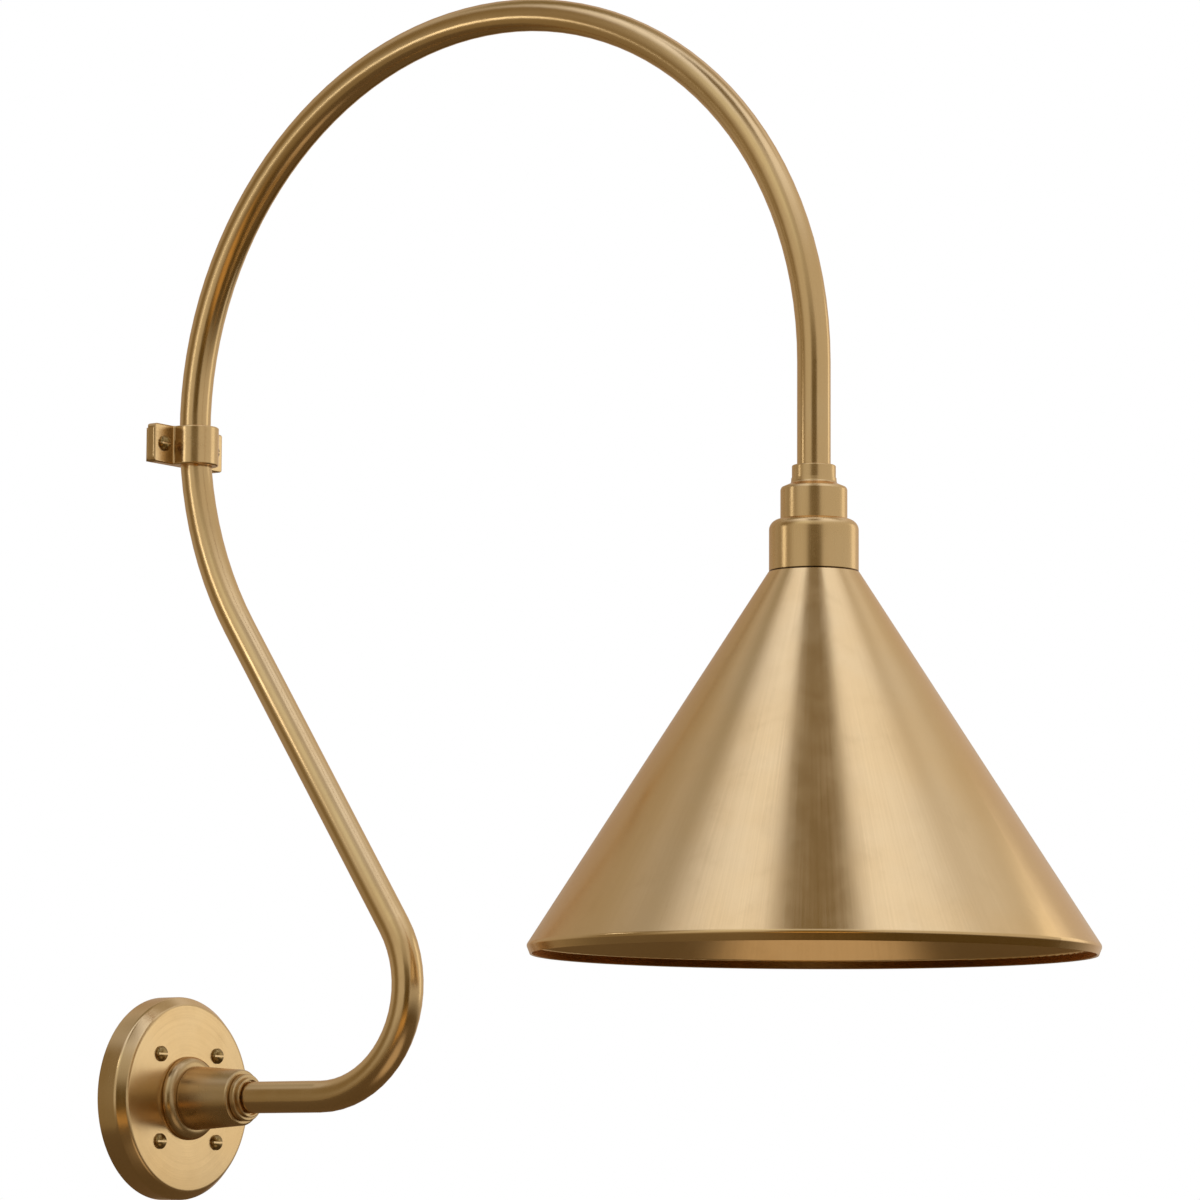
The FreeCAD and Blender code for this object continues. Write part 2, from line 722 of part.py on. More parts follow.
# ------------------------------------------------------------ head
def arm_end_collar():
    """Small tier: a ring round the arm's end, with a tapped web for the nipple."""
    bore_r = arm_r + fit_gap
    nipple_r = nipple_d / 2 + thread_gap
    return turned_on_head([
        (collar_foot_z, nipple_r),
        (collar_foot_z, collar_spigot_d / 2),
        (neck_top_z, collar_spigot_d / 2),
        (neck_top_z, collar_d / 2),
        (collar_top_z, collar_d / 2, collar_edge_r),
        (collar_top_z, bore_r),
        (arm_end_z, bore_r),
        (arm_end_z, nipple_r),
    ])


def socket_neck():
    """Middle tier with a coved shoulder, hollow below."""
    hole_r = collar_spigot_d / 2 + fit_gap
    cavity_r = neck_d / 2 - neck_wall
    cavity_top_z = neck_top_z - neck_ceiling_t
    return turned_on_head([
        (neck_top_z, hole_r),
        (neck_top_z, neck_top_d / 2),
        (neck_top_z - neck_cove_drop, neck_cove_d / 2, neck_cove_r),
        (neck_top_z - neck_brow_drop, neck_brow_d / 2, neck_brow_r),
        (neck_top_z - neck_edge_drop, neck_d / 2),
        (cup_top_z, neck_d / 2),
        (cup_top_z, cavity_r),
        (cavity_top_z, cavity_r, neck_cavity_edge_r),
        (cavity_top_z, hole_r),
    ])


def socket_cup():
    """Large tier: an inverted cup with a rounded shoulder, open below."""
    line = [
        (seam_z, cup_d / 2),
        (cup_top_z, cup_d / 2, cup_shoulder_r),
        (cup_top_z, nipple_d / 2 + bolt_gap),
    ]
    return turned_on_head(sheet_corners(line, cup_wall))


def head_nipple():
    """Threaded tube that ties collar, neck, cup and lampholder cap together."""
    top_z = arm_end_z - seat_gap
    return turned_on_head([
        (cap_ceiling_z, nipple_bore_d / 2), (cap_ceiling_z, nipple_d / 2),
        (top_z, nipple_d / 2), (top_z, nipple_bore_d / 2),
    ])


def head_lock_nut():
    foot = Vector(head_x, 0, cap_top_z)
    return hex_nut(nut_flats, nut_h, nipple_d / 2 + thread_gap, foot, Z_AXIS, Y_AXIS)


def holder_screw_places():
    diagonal = holder_screw_radius * math.sqrt(0.5)
    return [Vector(head_x + s * diagonal, s * diagonal, 0) for s in (-1, 1)]


def terminal_places():
    return [Vector(head_x + terminal_side, s * terminal_reach, 0) for s in (-1, 1)]


def holder_cap():
    """Steel cap screwed on the nipple; its skirt stands on the porcelain's shoulder."""
    hole_r = nipple_d / 2 + thread_gap
    skirt_z = deck_z - holder_rim_drop
    cap = turned_on_head([
        (cap_ceiling_z, hole_r), (cap_top_z, hole_r),
        (cap_top_z, cap_d / 2, cap_edge_r), (skirt_z, cap_d / 2),
        (skirt_z, cap_d / 2 - cap_wall), (cap_ceiling_z, cap_d / 2 - cap_wall, cap_inner_edge_r),
    ])
    for place in holder_screw_places():
        cap = cap.cut(cylinder(holder_screw_d / 2 + bolt_gap,
                               place + Z_AXIS * (cap_ceiling_z - overshoot),
                               place + Z_AXIS * (cap_top_z + overshoot)))
    earth_hole = Vector(earth_x, -terminal_side, cap_ceiling_z - overshoot)
    return cap.cut(cylinder(terminal_screw_d / 2 + thread_gap, earth_hole,
                            earth_hole + Z_AXIS * (cap_top_t + 2 * overshoot)))


def cap_earth_screw():
    """Screw that holds the earth's bare end against the cap's ceiling."""
    sizes = (terminal_screw_d, terminal_head_d, terminal_head_h, small_slot_w, small_slot_depth)
    seat = Vector(earth_x, -terminal_side, cap_ceiling_z - terminal_plate_t - terminal_wire_space)
    length = terminal_plate_t + terminal_wire_space + cap_top_t
    screw = round_head_screw(seat, -Z_AXIS, Y_AXIS, sizes, length)
    washer_top = seat + Z_AXIS * (terminal_wire_space + terminal_plate_t)
    washer = cylinder(terminal_head_d / 2, washer_top - Z_AXIS * terminal_plate_t, washer_top)
    return screw.fuse(washer)


def holder_screws():
    """Two long screws through the cap into the porcelain."""
    sizes = (holder_screw_d, holder_screw_head_d, holder_screw_head_h, small_slot_w, small_slot_depth)
    length = cap_top_z - deck_z + holder_screw_bite
    return Part.makeCompound([
        round_head_screw(place + Z_AXIS * cap_top_z, Z_AXIS, Y_AXIS, sizes, length)
        for place in holder_screw_places()])


def lampholder_body():
    """Porcelain socket: deck for the terminals, threaded outside for the shade ring, deep bore."""
    inner_r = cap_d / 2 - cap_wall - seat_gap
    body = turned_on_head([
        (deck_z, 0), (deck_z, inner_r, holder_deck_edge_r),
        (deck_z - holder_rim_drop, inner_r),
        (deck_z - holder_rim_drop, holder_d / 2, holder_rim_edge_r),
        (holder_foot_z, holder_d / 2, holder_foot_edge_r),
        (holder_foot_z, holder_bore_d / 2 + holder_mouth_chamfer),
        (holder_foot_z + holder_mouth_chamfer, holder_bore_d / 2),
        (socket_floor_z, holder_bore_d / 2), (socket_floor_z, 0),
    ])
    for place in holder_screw_places():
        top = place + Z_AXIS * (deck_z + overshoot)
        foot = place + Z_AXIS * (deck_z - holder_screw_bite - seat_gap)
        body = body.cut(cylinder(holder_screw_d / 2 + thread_gap, foot, top))
    for place in terminal_places():
        top = place + Z_AXIS * (deck_z + overshoot)
        foot = place + Z_AXIS * (deck_z - terminal_screw_bite - seat_gap)
        body = body.cut(cylinder(terminal_screw_d / 2 + thread_gap, foot, top))
    return body


def terminal_plates():
    """Two small brass plates on the deck under the terminal screws."""
    plates = []
    for place in terminal_places():
        corner = place + Vector(-terminal_plate_w / 2, -terminal_plate_l / 2, deck_z)
        plate = Part.makeBox(terminal_plate_w, terminal_plate_l, terminal_plate_t, corner)
        hole = cylinder(terminal_screw_d / 2 + thread_gap, place + Z_AXIS * (deck_z - overshoot),
                        place + Z_AXIS * (deck_z + terminal_plate_t + overshoot))
        plates.append(plate.cut(hole))
    return Part.makeCompound(plates)


def terminal_screws():
    sizes = (terminal_screw_d, terminal_head_d, terminal_head_h, small_slot_w, small_slot_depth)
    rise = terminal_plate_t + terminal_wire_space
    return Part.makeCompound([
        round_head_screw(place + Z_AXIS * (deck_z + rise), Z_AXIS, Y_AXIS, sizes,
                         rise + terminal_screw_bite)
        for place in terminal_places()])


def screw_shell():
    """Thin brass sleeve in the porcelain that the bulb's cap screws into."""
    outer_r = shell_bore_d / 2 + shell_t
    line = [
        (socket_floor_z - shell_length, outer_r),
        (socket_floor_z, outer_r),
        (socket_floor_z, shell_hole_d / 2),
    ]
    return turned_on_head(sheet_corners(line, shell_t))


def centre_contact():
    """Stepped contact stud under the socket's floor."""
    return turned_on_head([
        (socket_floor_z, 0), (socket_floor_z, contact_d / 2),
        (socket_floor_z - contact_disc_h, contact_d / 2),
        (socket_floor_z - contact_cone_end, contact_stud_d / 2),
        (contact_z, contact_stud_d / 2), (contact_z, 0),
    ])


# ------------------------------------------------------------ shade
def shade():
    """Spun cone with a flat top flange, clamped under the cup, and a turned-in lip."""
    line = [
        (lip_z, shade_lip_d / 2),
        (fold_z, shade_fold_d / 2, shade_fold_r),
        (seam_z, shade_top_d / 2, shade_top_edge_r),
        (seam_z, holder_d / 2 + bolt_gap),
    ]
    return turned_on_head(sheet_corners(line, shade_t))


def shade_ring():
    """Ring screwed up the porcelain under the shade's flange."""
    top_z = seam_z - shade_t
    foot_z = top_z - shade_ring_h
    bore_r = holder_d / 2 + thread_gap
    return turned_on_head([
        (top_z, bore_r), (top_z, shade_ring_d / 2, shade_ring_edge_r),
        (foot_z, shade_ring_d / 2, shade_ring_edge_r), (foot_z, bore_r),
    ])


# ------------------------------------------------------------ bulb
def tangent_on_circle(centre, radius, point):
    """Point of the circle where the line from point touches it, on the side away from the axis."""
    away = point - centre
    spread = math.acos(radius / away.Length)
    base = math.atan2(away.y, away.x)
    angles = [base - spread, base + spread]
    touches = [centre + Vector(math.cos(a), math.sin(a), 0) * radius for a in angles]
    return max(touches, key=lambda p: p.y)


def bulb_face(inset):
    """Half section of the bulb's envelope, drawn inset from its outer surface; x is height."""
    neck_r = bulb_cap_d / 2 - bulb_cap_t - fit_gap - inset
    ball_r = bulb_d / 2 - inset
    top_z = bulb_cap_foot_z + bulb_neck_in_cap
    throat = Vector(bulb_cap_foot_z - bulb_throat_drop, neck_r, 0)
    ball = Vector(bulb_centre_z, 0, 0)
    touch = tangent_on_circle(ball, ball_r, throat)
    pole = Vector(bulb_centre_z - ball_r, 0, 0)
    toward = (pole - ball).normalize() + (touch - ball).normalize()
    belly = ball + toward.normalize() * ball_r
    up = Vector(1, 0, 0)
    down = (touch - throat).normalize()
    half = up.getAngle(down) / 2
    throat_r = bulb_throat_r + inset
    cut = throat_r / math.tan(half)
    bend_mid = throat + (up + down).normalize() * (throat_r / math.sin(half) - throat_r)

    def place(p):
        return Vector(head_x + p.y, 0, p.x)
    top = Vector(top_z, neck_r, 0)
    edges = [
        Part.makeLine(place(Vector(top_z, 0, 0)), place(top)),
        Part.makeLine(place(top), place(throat + up * cut)),
        Part.Arc(place(throat + up * cut), place(bend_mid), place(throat + down * cut)).toShape(),
        Part.makeLine(place(throat + down * cut), place(touch)),
        Part.Arc(place(touch), place(belly), place(pole)).toShape(),
        Part.makeLine(place(pole), place(Vector(top_z, 0, 0))),
    ]
    return Part.Face(Part.Wire(edges))


def bulb_glass():
    """Pear-shaped envelope, closed round its foot and hollow."""
    axis_foot = Vector(head_x, 0, 0)
    outer = bulb_face(0).revolve(axis_foot, Z_AXIS, 360)
    inner = bulb_face(bulb_glass_t).revolve(axis_foot, Z_AXIS, 360)
    return outer.cut(inner)


def bulb_cap():
    """Thin screw cap, drawn in at the top round the insulator."""
    line = [
        (bulb_cap_foot_z, bulb_cap_d / 2),
        (bulb_cap_top_z - bulb_cap_cone_h, bulb_cap_d / 2, bulb_cap_edge_r),
        (bulb_cap_top_z, bulb_cap_hole_d / 2),
    ]
    return turned_on_head(sheet_corners(line, bulb_cap_t))


def bulb_insulator():
    """Dark glass cone between cap and contact, with a plug that sits in the cap."""
    plug_r = bulb_cap_hole_d / 2 - fit_gap - bulb_plug_inset
    top_z = bulb_cap_top_z + bulb_insulator_h
    return turned_on_head([
        (bulb_cap_top_z - bulb_cap_cone_h, 0),
        (bulb_cap_top_z - bulb_cap_cone_h, plug_r),
        (bulb_cap_top_z, plug_r),
        (bulb_cap_top_z + fit_gap, bulb_insulator_d / 2 - bulb_insulator_inset),
        (top_z, bulb_contact_d / 2, bulb_insulator_tip_r),
        (top_z, 0),
    ])


def bulb_contact():
    """Soldered tip of the bulb."""
    foot_z = bulb_cap_top_z + bulb_insulator_h
    return turned_on_head([
        (foot_z, 0), (foot_z, bulb_contact_d / 2 - bulb_contact_foot_inset),
        (bulb_tip_z, bulb_contact_d / 2 - bulb_contact_tip_inset, bulb_contact_edge_r),
        (bulb_tip_z, 0),
    ])


# ------------------------------------------------------------ all pieces
pieces = {
    "wall_plate": wall_plate(),
    "mounting_plate": mounting_plate(),
    "mount_nuts": mount_nuts(),
    "earth_screw": earth_screw(),
    "plate_screws": plate_screws(),
    "hub_base_ring": hub_base_ring(),
    "hub_body": hub_body(),
    "hub_washer": hub_washer(),
    "hub_lock_nut": hub_lock_nut(),
    "arm_lock_ring": arm_lock_ring(),
    "gooseneck_arm": gooseneck_arm(),
    "lead_live": side_lead(-1),
    "lead_neutral": side_lead(1),
    "lead_earth": earth_lead(),
    "wire_connectors": wire_connectors(),
    "clip_base": clip_base(),
    "clip_saddle": clip_saddle(),
    "clip_screws": clip_screws(),
    "arm_end_collar": arm_end_collar(),
    "socket_neck": socket_neck(),
    "socket_cup": socket_cup(),
    "head_nipple": head_nipple(),
    "head_lock_nut": head_lock_nut(),
    "holder_cap": holder_cap(),
    "cap_earth_screw": cap_earth_screw(),
    "holder_screws": holder_screws(),
    "lampholder_body": lampholder_body(),
    "terminal_plates": terminal_plates(),
    "terminal_screws": terminal_screws(),
    "screw_shell": screw_shell(),
    "centre_contact": centre_contact(),
    "shade": shade(),
    "shade_ring": shade_ring(),
    "bulb_glass": bulb_glass(),
    "bulb_cap": bulb_cap(),
    "bulb_insulator": bulb_insulator(),
    "bulb_contact": bulb_contact(),
}

os.makedirs("parts", exist_ok=True)
for name, shape in pieces.items():
    shape.exportStep(os.path.join("parts", name + ".step"))
    box = shape.optimalBoundingBox(False)
    print(f"{name:16s} valid={shape.isValid()} solids={len(shape.Solids)} volume={shape.Volume:11.1f} "
          f"x {box.XMin:7.2f} {box.XMax:7.2f}  y {box.YMin:7.2f} {box.YMax:7.2f}  "
          f"z {box.ZMin:7.2f} {box.ZMax:7.2f}")
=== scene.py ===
"""Looks of the gooseneck wall sconce: brass finishes, studio light and the pieces made over its nodes."""
import math

import bpy
from mathutils import Matrix, Vector


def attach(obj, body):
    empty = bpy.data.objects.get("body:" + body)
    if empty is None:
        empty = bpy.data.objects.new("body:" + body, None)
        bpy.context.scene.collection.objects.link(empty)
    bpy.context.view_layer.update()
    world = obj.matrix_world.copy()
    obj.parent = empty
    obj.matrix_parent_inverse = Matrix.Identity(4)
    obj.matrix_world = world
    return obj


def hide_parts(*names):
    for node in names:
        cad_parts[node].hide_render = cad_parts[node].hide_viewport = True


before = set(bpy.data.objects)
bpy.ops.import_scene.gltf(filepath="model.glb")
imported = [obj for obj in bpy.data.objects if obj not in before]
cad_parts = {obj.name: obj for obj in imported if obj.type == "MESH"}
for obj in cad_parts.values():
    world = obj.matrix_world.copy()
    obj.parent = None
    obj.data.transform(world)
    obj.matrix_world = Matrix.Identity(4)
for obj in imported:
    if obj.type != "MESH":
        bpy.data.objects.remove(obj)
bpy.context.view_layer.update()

# ---------------------------------------------------------------- places, in metres, wall at X = 0
head_x = 0.474877          # the axis of collar, neck, cup, shade and bulb
crown_x = 0.246277         # centre of the gooseneck's large bend
crown_z = 0.411319
crown_bend_r = 0.2286
cup_seam_z = 0.29122       # where the cup sits on the shade
plate_face_x = 0.020
plate_screw_z = 0.0263     # the wall plate's screws stand this far above and below the arm
clip_z = 0.400

# ---------------------------------------------------------------- colours
brass = (0.715, 0.515, 0.262)
brass_deep = (0.42, 0.265, 0.10)
brass_pale = (0.77, 0.575, 0.315)
# dark brown for the painted shade in the cup's seam, and for the oil on the screws
seam_shade_and_oil_brown = (0.10, 0.055, 0.014)
screw_olive = (0.38, 0.27, 0.11)
edge_tint = (1.0, 0.87, 0.79)


# ---------------------------------------------------------------- node helpers
class Wiring:
    """The nodes of one material or world under work: adds them and joins them."""

    def __init__(self, tree):
        self.nodes = tree.nodes
        self.links = tree.links

    def add(self, kind, **settings):
        node = self.nodes.new(kind)
        for key, value in settings.items():
            setattr(node, key, value)
        return node

    def feed(self, socket, value):
        """Links another node's output to the socket, or writes a number, vector or colour into it."""
        if isinstance(value, bpy.types.NodeSocket):
            self.links.new(value, socket)
        elif socket.type == "RGBA":
            socket.default_value = (*value, 1.0)
        else:
            socket.default_value = value

    def math(self, operation, a, b=0.0):
        node = self.add("ShaderNodeMath", operation=operation)
        for socket, value in zip(node.inputs, (a, b)):
            self.feed(socket, value)
        return node.outputs[0]

    def vector(self, operation, a, b=None, scale=None):
        node = self.add("ShaderNodeVectorMath", operation=operation)
        self.feed(node.inputs[0], a)
        if b is not None:
            self.feed(node.inputs[1], b)
        if scale is not None:
            self.feed(node.inputs["Scale"], scale)
        return node.outputs["Value"] if operation in ("LENGTH", "DOT_PRODUCT") else node.outputs[0]

    def split(self, vector):
        node = self.add("ShaderNodeSeparateXYZ")
        self.feed(node.inputs[0], vector)
        return node.outputs[0], node.outputs[1], node.outputs[2]

    def join(self, x, y, z):
        node = self.add("ShaderNodeCombineXYZ")
        for socket, value in zip(node.inputs, (x, y, z)):
            self.feed(socket, value)
        return node.outputs[0]

    def remap(self, value, low, high, to_low, to_high, kind="LINEAR"):
        """Straight from one range to the other, and held at its ends."""
        node = self.add("ShaderNodeMapRange", interpolation_type=kind)
        for socket, number in zip(node.inputs, (value, low, high, to_low, to_high)):
            self.feed(socket, number)
        return node.outputs[0]

    def ramp(self, value, low, high, to_low=0.0, to_high=1.0):
        """As remap, but easing in and out."""
        return self.remap(value, low, high, to_low, to_high, kind="SMOOTHSTEP")

    def mix(self, share, a, b):
        """Colour a where the share is 0, colour b where it is 1."""
        node = self.add("ShaderNodeMix", data_type="RGBA")
        self.feed(node.inputs[0], share)
        self.feed(node.inputs[6], a)
        self.feed(node.inputs[7], b)
        return node.outputs[2]


class Finish(Wiring):
    """One material under work."""

    def __init__(self, name):
        self.material = bpy.data.materials.new(name)
        self.material.use_nodes = True
        super().__init__(self.material.node_tree)
        self.shader = self.nodes["Principled BSDF"]
        self.place = self.add("ShaderNodeTexCoord").outputs["Object"]

    def set(self, name, value):
        self.feed(self.shader.inputs[name], value)

    def centred(self, x, y, z):
        """The place measured from a point of the piece."""
        node = self.add("ShaderNodeMapping")
        self.feed(node.inputs["Vector"], self.place)
        node.inputs["Location"].default_value = (-x, -y, -z)
        return node.outputs[0]

    def noise(self, vector, scale, detail=2.0, roughness=0.5, distortion=0.0):
        node = self.add("ShaderNodeTexNoise")
        self.feed(node.inputs["Vector"], vector)
        node.inputs["Scale"].default_value = scale
        node.inputs["Detail"].default_value = detail
        node.inputs["Roughness"].default_value = roughness
        node.inputs["Distortion"].default_value = distortion
        return node.outputs["Fac"]

    def bump(self, height, strength, depth, under=None):
        node = self.add("ShaderNodeBump")
        node.inputs["Strength"].default_value = strength
        node.inputs["Distance"].default_value = depth
        self.feed(node.inputs["Height"], height)
        if under is not None:
            self.feed(node.inputs["Normal"], under)
        return node.outputs[0]


# ---------------------------------------------------------------- brush marks
# Noise steps to a metre, and for those named round, to the unit circle about the piece's own axis.
cone_marks_round, cone_marks_down = 150.0, 9.0
lathe_marks, lathe_marks_round = 1300.0, 1.8
arm_marks_round, arm_marks_along = 9.0, 16.0
file_marks, file_marks_along = 700.0, 60.0


def brushed_down(finish):
    """Fine marks that run down a piece standing on the head's axis, closer together where it is slim."""
    x, y, z = finish.split(finish.centred(head_x, 0, 0))
    ring = finish.vector("NORMALIZE", finish.join(x, y, 0.0))
    return finish.vector("ADD", finish.vector("SCALE", ring, scale=cone_marks_round),
                         finish.join(0.0, 0.0, finish.math("MULTIPLY", z, cone_marks_down)))


def turned_on_hub(finish):
    """Lathe marks round the hub's axis, on wall plate, bead, boss and lock ring."""
    x, y, z = finish.split(finish.place)
    radius = finish.vector("LENGTH", finish.join(0.0, y, z))
    ring = finish.vector("NORMALIZE", finish.join(0.0, y, z))
    marks = finish.join(finish.math("MULTIPLY", x, lathe_marks),
                        finish.math("MULTIPLY", radius, lathe_marks), 0.0)
    return finish.vector("ADD", marks, finish.vector("SCALE", ring, scale=lathe_marks_round))


def drawn_along_bend(finish):
    """Marks along the gooseneck: slow along the bend, quick across it."""
    x, y, z = finish.split(finish.centred(crown_x, 0, crown_z))
    reach = finish.math("SUBTRACT", finish.vector("LENGTH", finish.join(x, 0.0, z)), crown_bend_r)
    ring = finish.vector("NORMALIZE", finish.join(reach, y, 0.0))
    travel = finish.vector("SCALE", finish.join(x, 0.0, z), scale=arm_marks_along)
    return finish.vector("ADD", finish.vector("SCALE", ring, scale=arm_marks_round), travel)


def filed_across(finish):
    """Short file and polishing marks along Y, on the clip."""
    x, y, z = finish.split(finish.place)
    return finish.join(finish.math("MULTIPLY", x, file_marks), finish.math("MULTIPLY", y, file_marks_along),
                       finish.math("MULTIPLY", z, file_marks))


# ---------------------------------------------------------------- finishes
def toned(colour, share):
    """The colour made darker or lighter by one share for all of it."""
    return tuple(part * share for part in colour)


def painted_seam_shade(finish, height):
    """Painted shade: 1 in the line where two turned pieces of the head meet, 0 away from it."""
    z = finish.split(finish.place)[2]
    off = finish.math("ABSOLUTE", finish.math("SUBTRACT", z, height))
    return finish.ramp(off, 0.0003, 0.0007, 1.0, 0.0)


def burnished_brass(name, marks, roughness, depth, patina, tone=1.0, streak=0.07, seam_z=None):
    """Brushed, lacquered antique brass: even warm body, slow clouding, fine marks and brown in the pores."""
    finish = Finish(name)
    fine = finish.noise(marks(finish), 1.0, detail=3.0, roughness=0.6)
    cloud = finish.noise(finish.place, 14.0, detail=3.0, roughness=0.55)
    pores = finish.noise(finish.place, 420.0, detail=4.0, roughness=0.7)
    handled = finish.noise(finish.place, 46.0, detail=5.0, roughness=0.62, distortion=0.4)
    plain, pale = toned(brass, tone), toned(brass_pale, tone * 0.93)
    deep, deepest = toned(brass_deep, tone), toned(brass_deep, tone * 0.8)
    body = finish.mix(finish.ramp(cloud, 0.32, 0.68), plain, pale)
    body = finish.mix(finish.remap(fine, 0.35, 0.75, 0.0, streak), body, deep)
    body = finish.mix(finish.remap(pores, 0.60, 0.78, 0.0, patina), body, deep)
    body = finish.mix(finish.remap(handled, 0.55, 0.80, 0.0, patina * 0.5), body, deepest)
    # painted shade: a thin dark line where the cup sits on the shade
    if seam_z is not None:
        body = finish.mix(painted_seam_shade(finish, seam_z), body, seam_shade_and_oil_brown)
    finish.set("Base Color", body)
    sheen = finish.math("ADD", finish.remap(fine, 0.3, 0.7, roughness - 0.02, roughness + 0.03),
                        finish.remap(handled, 0.4, 0.8, -0.01, 0.05))
    finish.set("Roughness", sheen)
    ridge = finish.bump(fine, 0.35, depth)
    finish.set("Normal", finish.bump(pores, 0.12, depth, ridge))
    finish.set("Metallic", 1.0)
    finish.set("Specular Tint", edge_tint)
    return finish.material


def slotted_screw(name, slot_z):
    """Dark, oiled brass screw head, with a painted highlight along the slot."""
    finish = Finish(name)
    z = finish.split(finish.place)[2]
    off_slot = finish.math("ABSOLUTE", finish.math("SUBTRACT", finish.math("ABSOLUTE", z), slot_z))
    # painted highlight: a pale band along the slot
    painted_slot_highlight = finish.ramp(off_slot, 0.0004, 0.0007, 0.9, 0.0)
    oil = finish.noise(finish.place, 620.0, detail=4.0, roughness=0.65)
    turned = finish.noise(turned_on_hub(finish), 1.0, detail=2.0)
    body = finish.mix(finish.remap(oil, 0.35, 0.70, 0.0, 0.7), screw_olive, seam_shade_and_oil_brown)
    body = finish.mix(painted_slot_highlight, body, brass_pale)
    finish.set("Base Color", body)
    finish.set("Roughness", finish.remap(oil, 0.3, 0.7, 0.20, 0.34))
    finish.set("Normal", finish.bump(turned, 0.25, 0.00001))
    finish.set("Metallic", 1.0)
    return finish.material


def plain_metal(name, colour, dark, roughness, scale=260.0, metallic=1.0):
    """Unlacquered metal inside the sconce: dull, with spangle and stains."""
    finish = Finish(name)
    spangle = finish.noise(finish.place, scale, detail=3.0, roughness=0.6)
    stain = finish.noise(finish.place, scale * 0.15, detail=4.0, roughness=0.65)
    body = finish.mix(finish.remap(spangle, 0.3, 0.7, 0.0, 0.35), colour, dark)
    body = finish.mix(finish.remap(stain, 0.5, 0.75, 0.0, 0.5), body, dark)
    finish.set("Base Color", body)
    finish.set("Roughness", finish.remap(spangle, 0.3, 0.7, roughness - 0.06, roughness + 0.08))
    finish.set("Normal", finish.bump(spangle, 0.25, 0.00004))
    finish.set("Metallic", metallic)
    return finish.material


def porcelain():
    """White glaze over a faintly uneven body, with a few fired-in specks."""
    finish = Finish("glazed_porcelain")
    glaze = finish.noise(finish.place, 60.0, detail=3.0)
    specks = finish.noise(finish.place, 900.0, detail=2.0)
    body = finish.mix(finish.remap(glaze, 0.3, 0.7, 0.0, 1.0), (0.84, 0.82, 0.77), (0.78, 0.755, 0.70))
    body = finish.mix(finish.remap(specks, 0.72, 0.80, 0.0, 0.5), body, (0.42, 0.36, 0.28))
    finish.set("Base Color", body)
    finish.set("Roughness", finish.remap(glaze, 0.3, 0.7, 0.14, 0.26))
    finish.set("Normal", finish.bump(glaze, 0.2, 0.0002))
    finish.set("Coat Weight", 0.6)
    finish.set("Coat Roughness", 0.08)
    return finish.material


def opal_glass():
    """White-coated bulb glass with the light bloom of the powder inside."""
    finish = Finish("opal_glass")
    bloom = finish.noise(finish.place, 38.0, detail=4.0, roughness=0.6)
    powder = finish.noise(finish.place, 1400.0, detail=2.0)
    body = finish.mix(finish.remap(bloom, 0.3, 0.7, 0.0, 1.0), (0.88, 0.87, 0.84), (0.82, 0.81, 0.775))
    finish.set("Base Color", body)
    finish.set("Roughness", finish.remap(powder, 0.3, 0.7, 0.16, 0.24))
    finish.set("Normal", finish.bump(powder, 0.05, 0.00002))
    finish.set("Coat Weight", 0.5)
    finish.set("Coat Roughness", 0.04)
    finish.set("Subsurface Weight", 0.15)
    finish.set("Subsurface Radius", (0.004, 0.004, 0.003))
    return finish.material


def wire_cover(name, colour, worn):
    """Plastic cover of a lead, dulled and a little scuffed."""
    finish = Finish(name)
    soft = finish.noise(finish.place, 320.0, detail=3.0)
    scuff = finish.noise(finish.place, 90.0, detail=4.0, roughness=0.7)
    body = finish.mix(finish.remap(soft, 0.3, 0.7, 0.0, 0.4), colour, worn)
    body = finish.mix(finish.remap(scuff, 0.6, 0.75, 0.0, 0.5), body, worn)
    finish.set("Base Color", body)
    finish.set("Roughness", finish.remap(soft, 0.3, 0.7, 0.38, 0.55))
    finish.set("Normal", finish.bump(soft, 0.2, 0.00006))
    return finish.material


# ---------------------------------------------------------------- every node's finish
cone_brass = burnished_brass("cone_brass", brushed_down, roughness=0.20, depth=0.000012, patina=0.15,
                             seam_z=cup_seam_z)
tier_brass = burnished_brass("tier_brass", brushed_down, roughness=0.25, depth=0.000005, patina=0.15,
                             tone=0.97, seam_z=cup_seam_z)
arm_brass = burnished_brass("arm_brass", drawn_along_bend, roughness=0.21, depth=0.000008, patina=0.2,
                            tone=0.97)
plate_brass = burnished_brass("plate_brass", turned_on_hub, roughness=0.22, depth=0.000005, patina=0.15,
                              tone=0.96, streak=0.04)
# a darker copy of the same brass, as painted shade on hub, bead and lock ring
shaded_hub_brass = burnished_brass("shaded_hub_brass", turned_on_hub, roughness=0.28, depth=0.000004, patina=0.15,
                            tone=0.76, streak=0.04)
clip_brass = burnished_brass("clip_brass", filed_across, roughness=0.22, depth=0.000006, patina=0.15)
plate_screw_brass = slotted_screw("plate_screw_brass", plate_screw_z)
clip_screw_brass = slotted_screw("clip_screw_brass", clip_z)
plain_brass = plain_metal("plain_brass", (0.66, 0.47, 0.2), (0.36, 0.24, 0.09), 0.34)
zinc_steel = plain_metal("zinc_steel", (0.60, 0.61, 0.60), (0.36, 0.37, 0.36), 0.36, scale=180.0)
earth_green = plain_metal("earth_green", (0.10, 0.34, 0.13), (0.05, 0.17, 0.07), 0.38)
bright_cap = plain_metal("bright_cap", (0.80, 0.80, 0.79), (0.55, 0.54, 0.51), 0.24)
solder = plain_metal("solder", (0.62, 0.62, 0.60), (0.34, 0.34, 0.33), 0.42, scale=500.0)
black_glass = plain_metal("black_glass", (0.02, 0.02, 0.024), (0.008, 0.008, 0.009), 0.12, metallic=0.0)
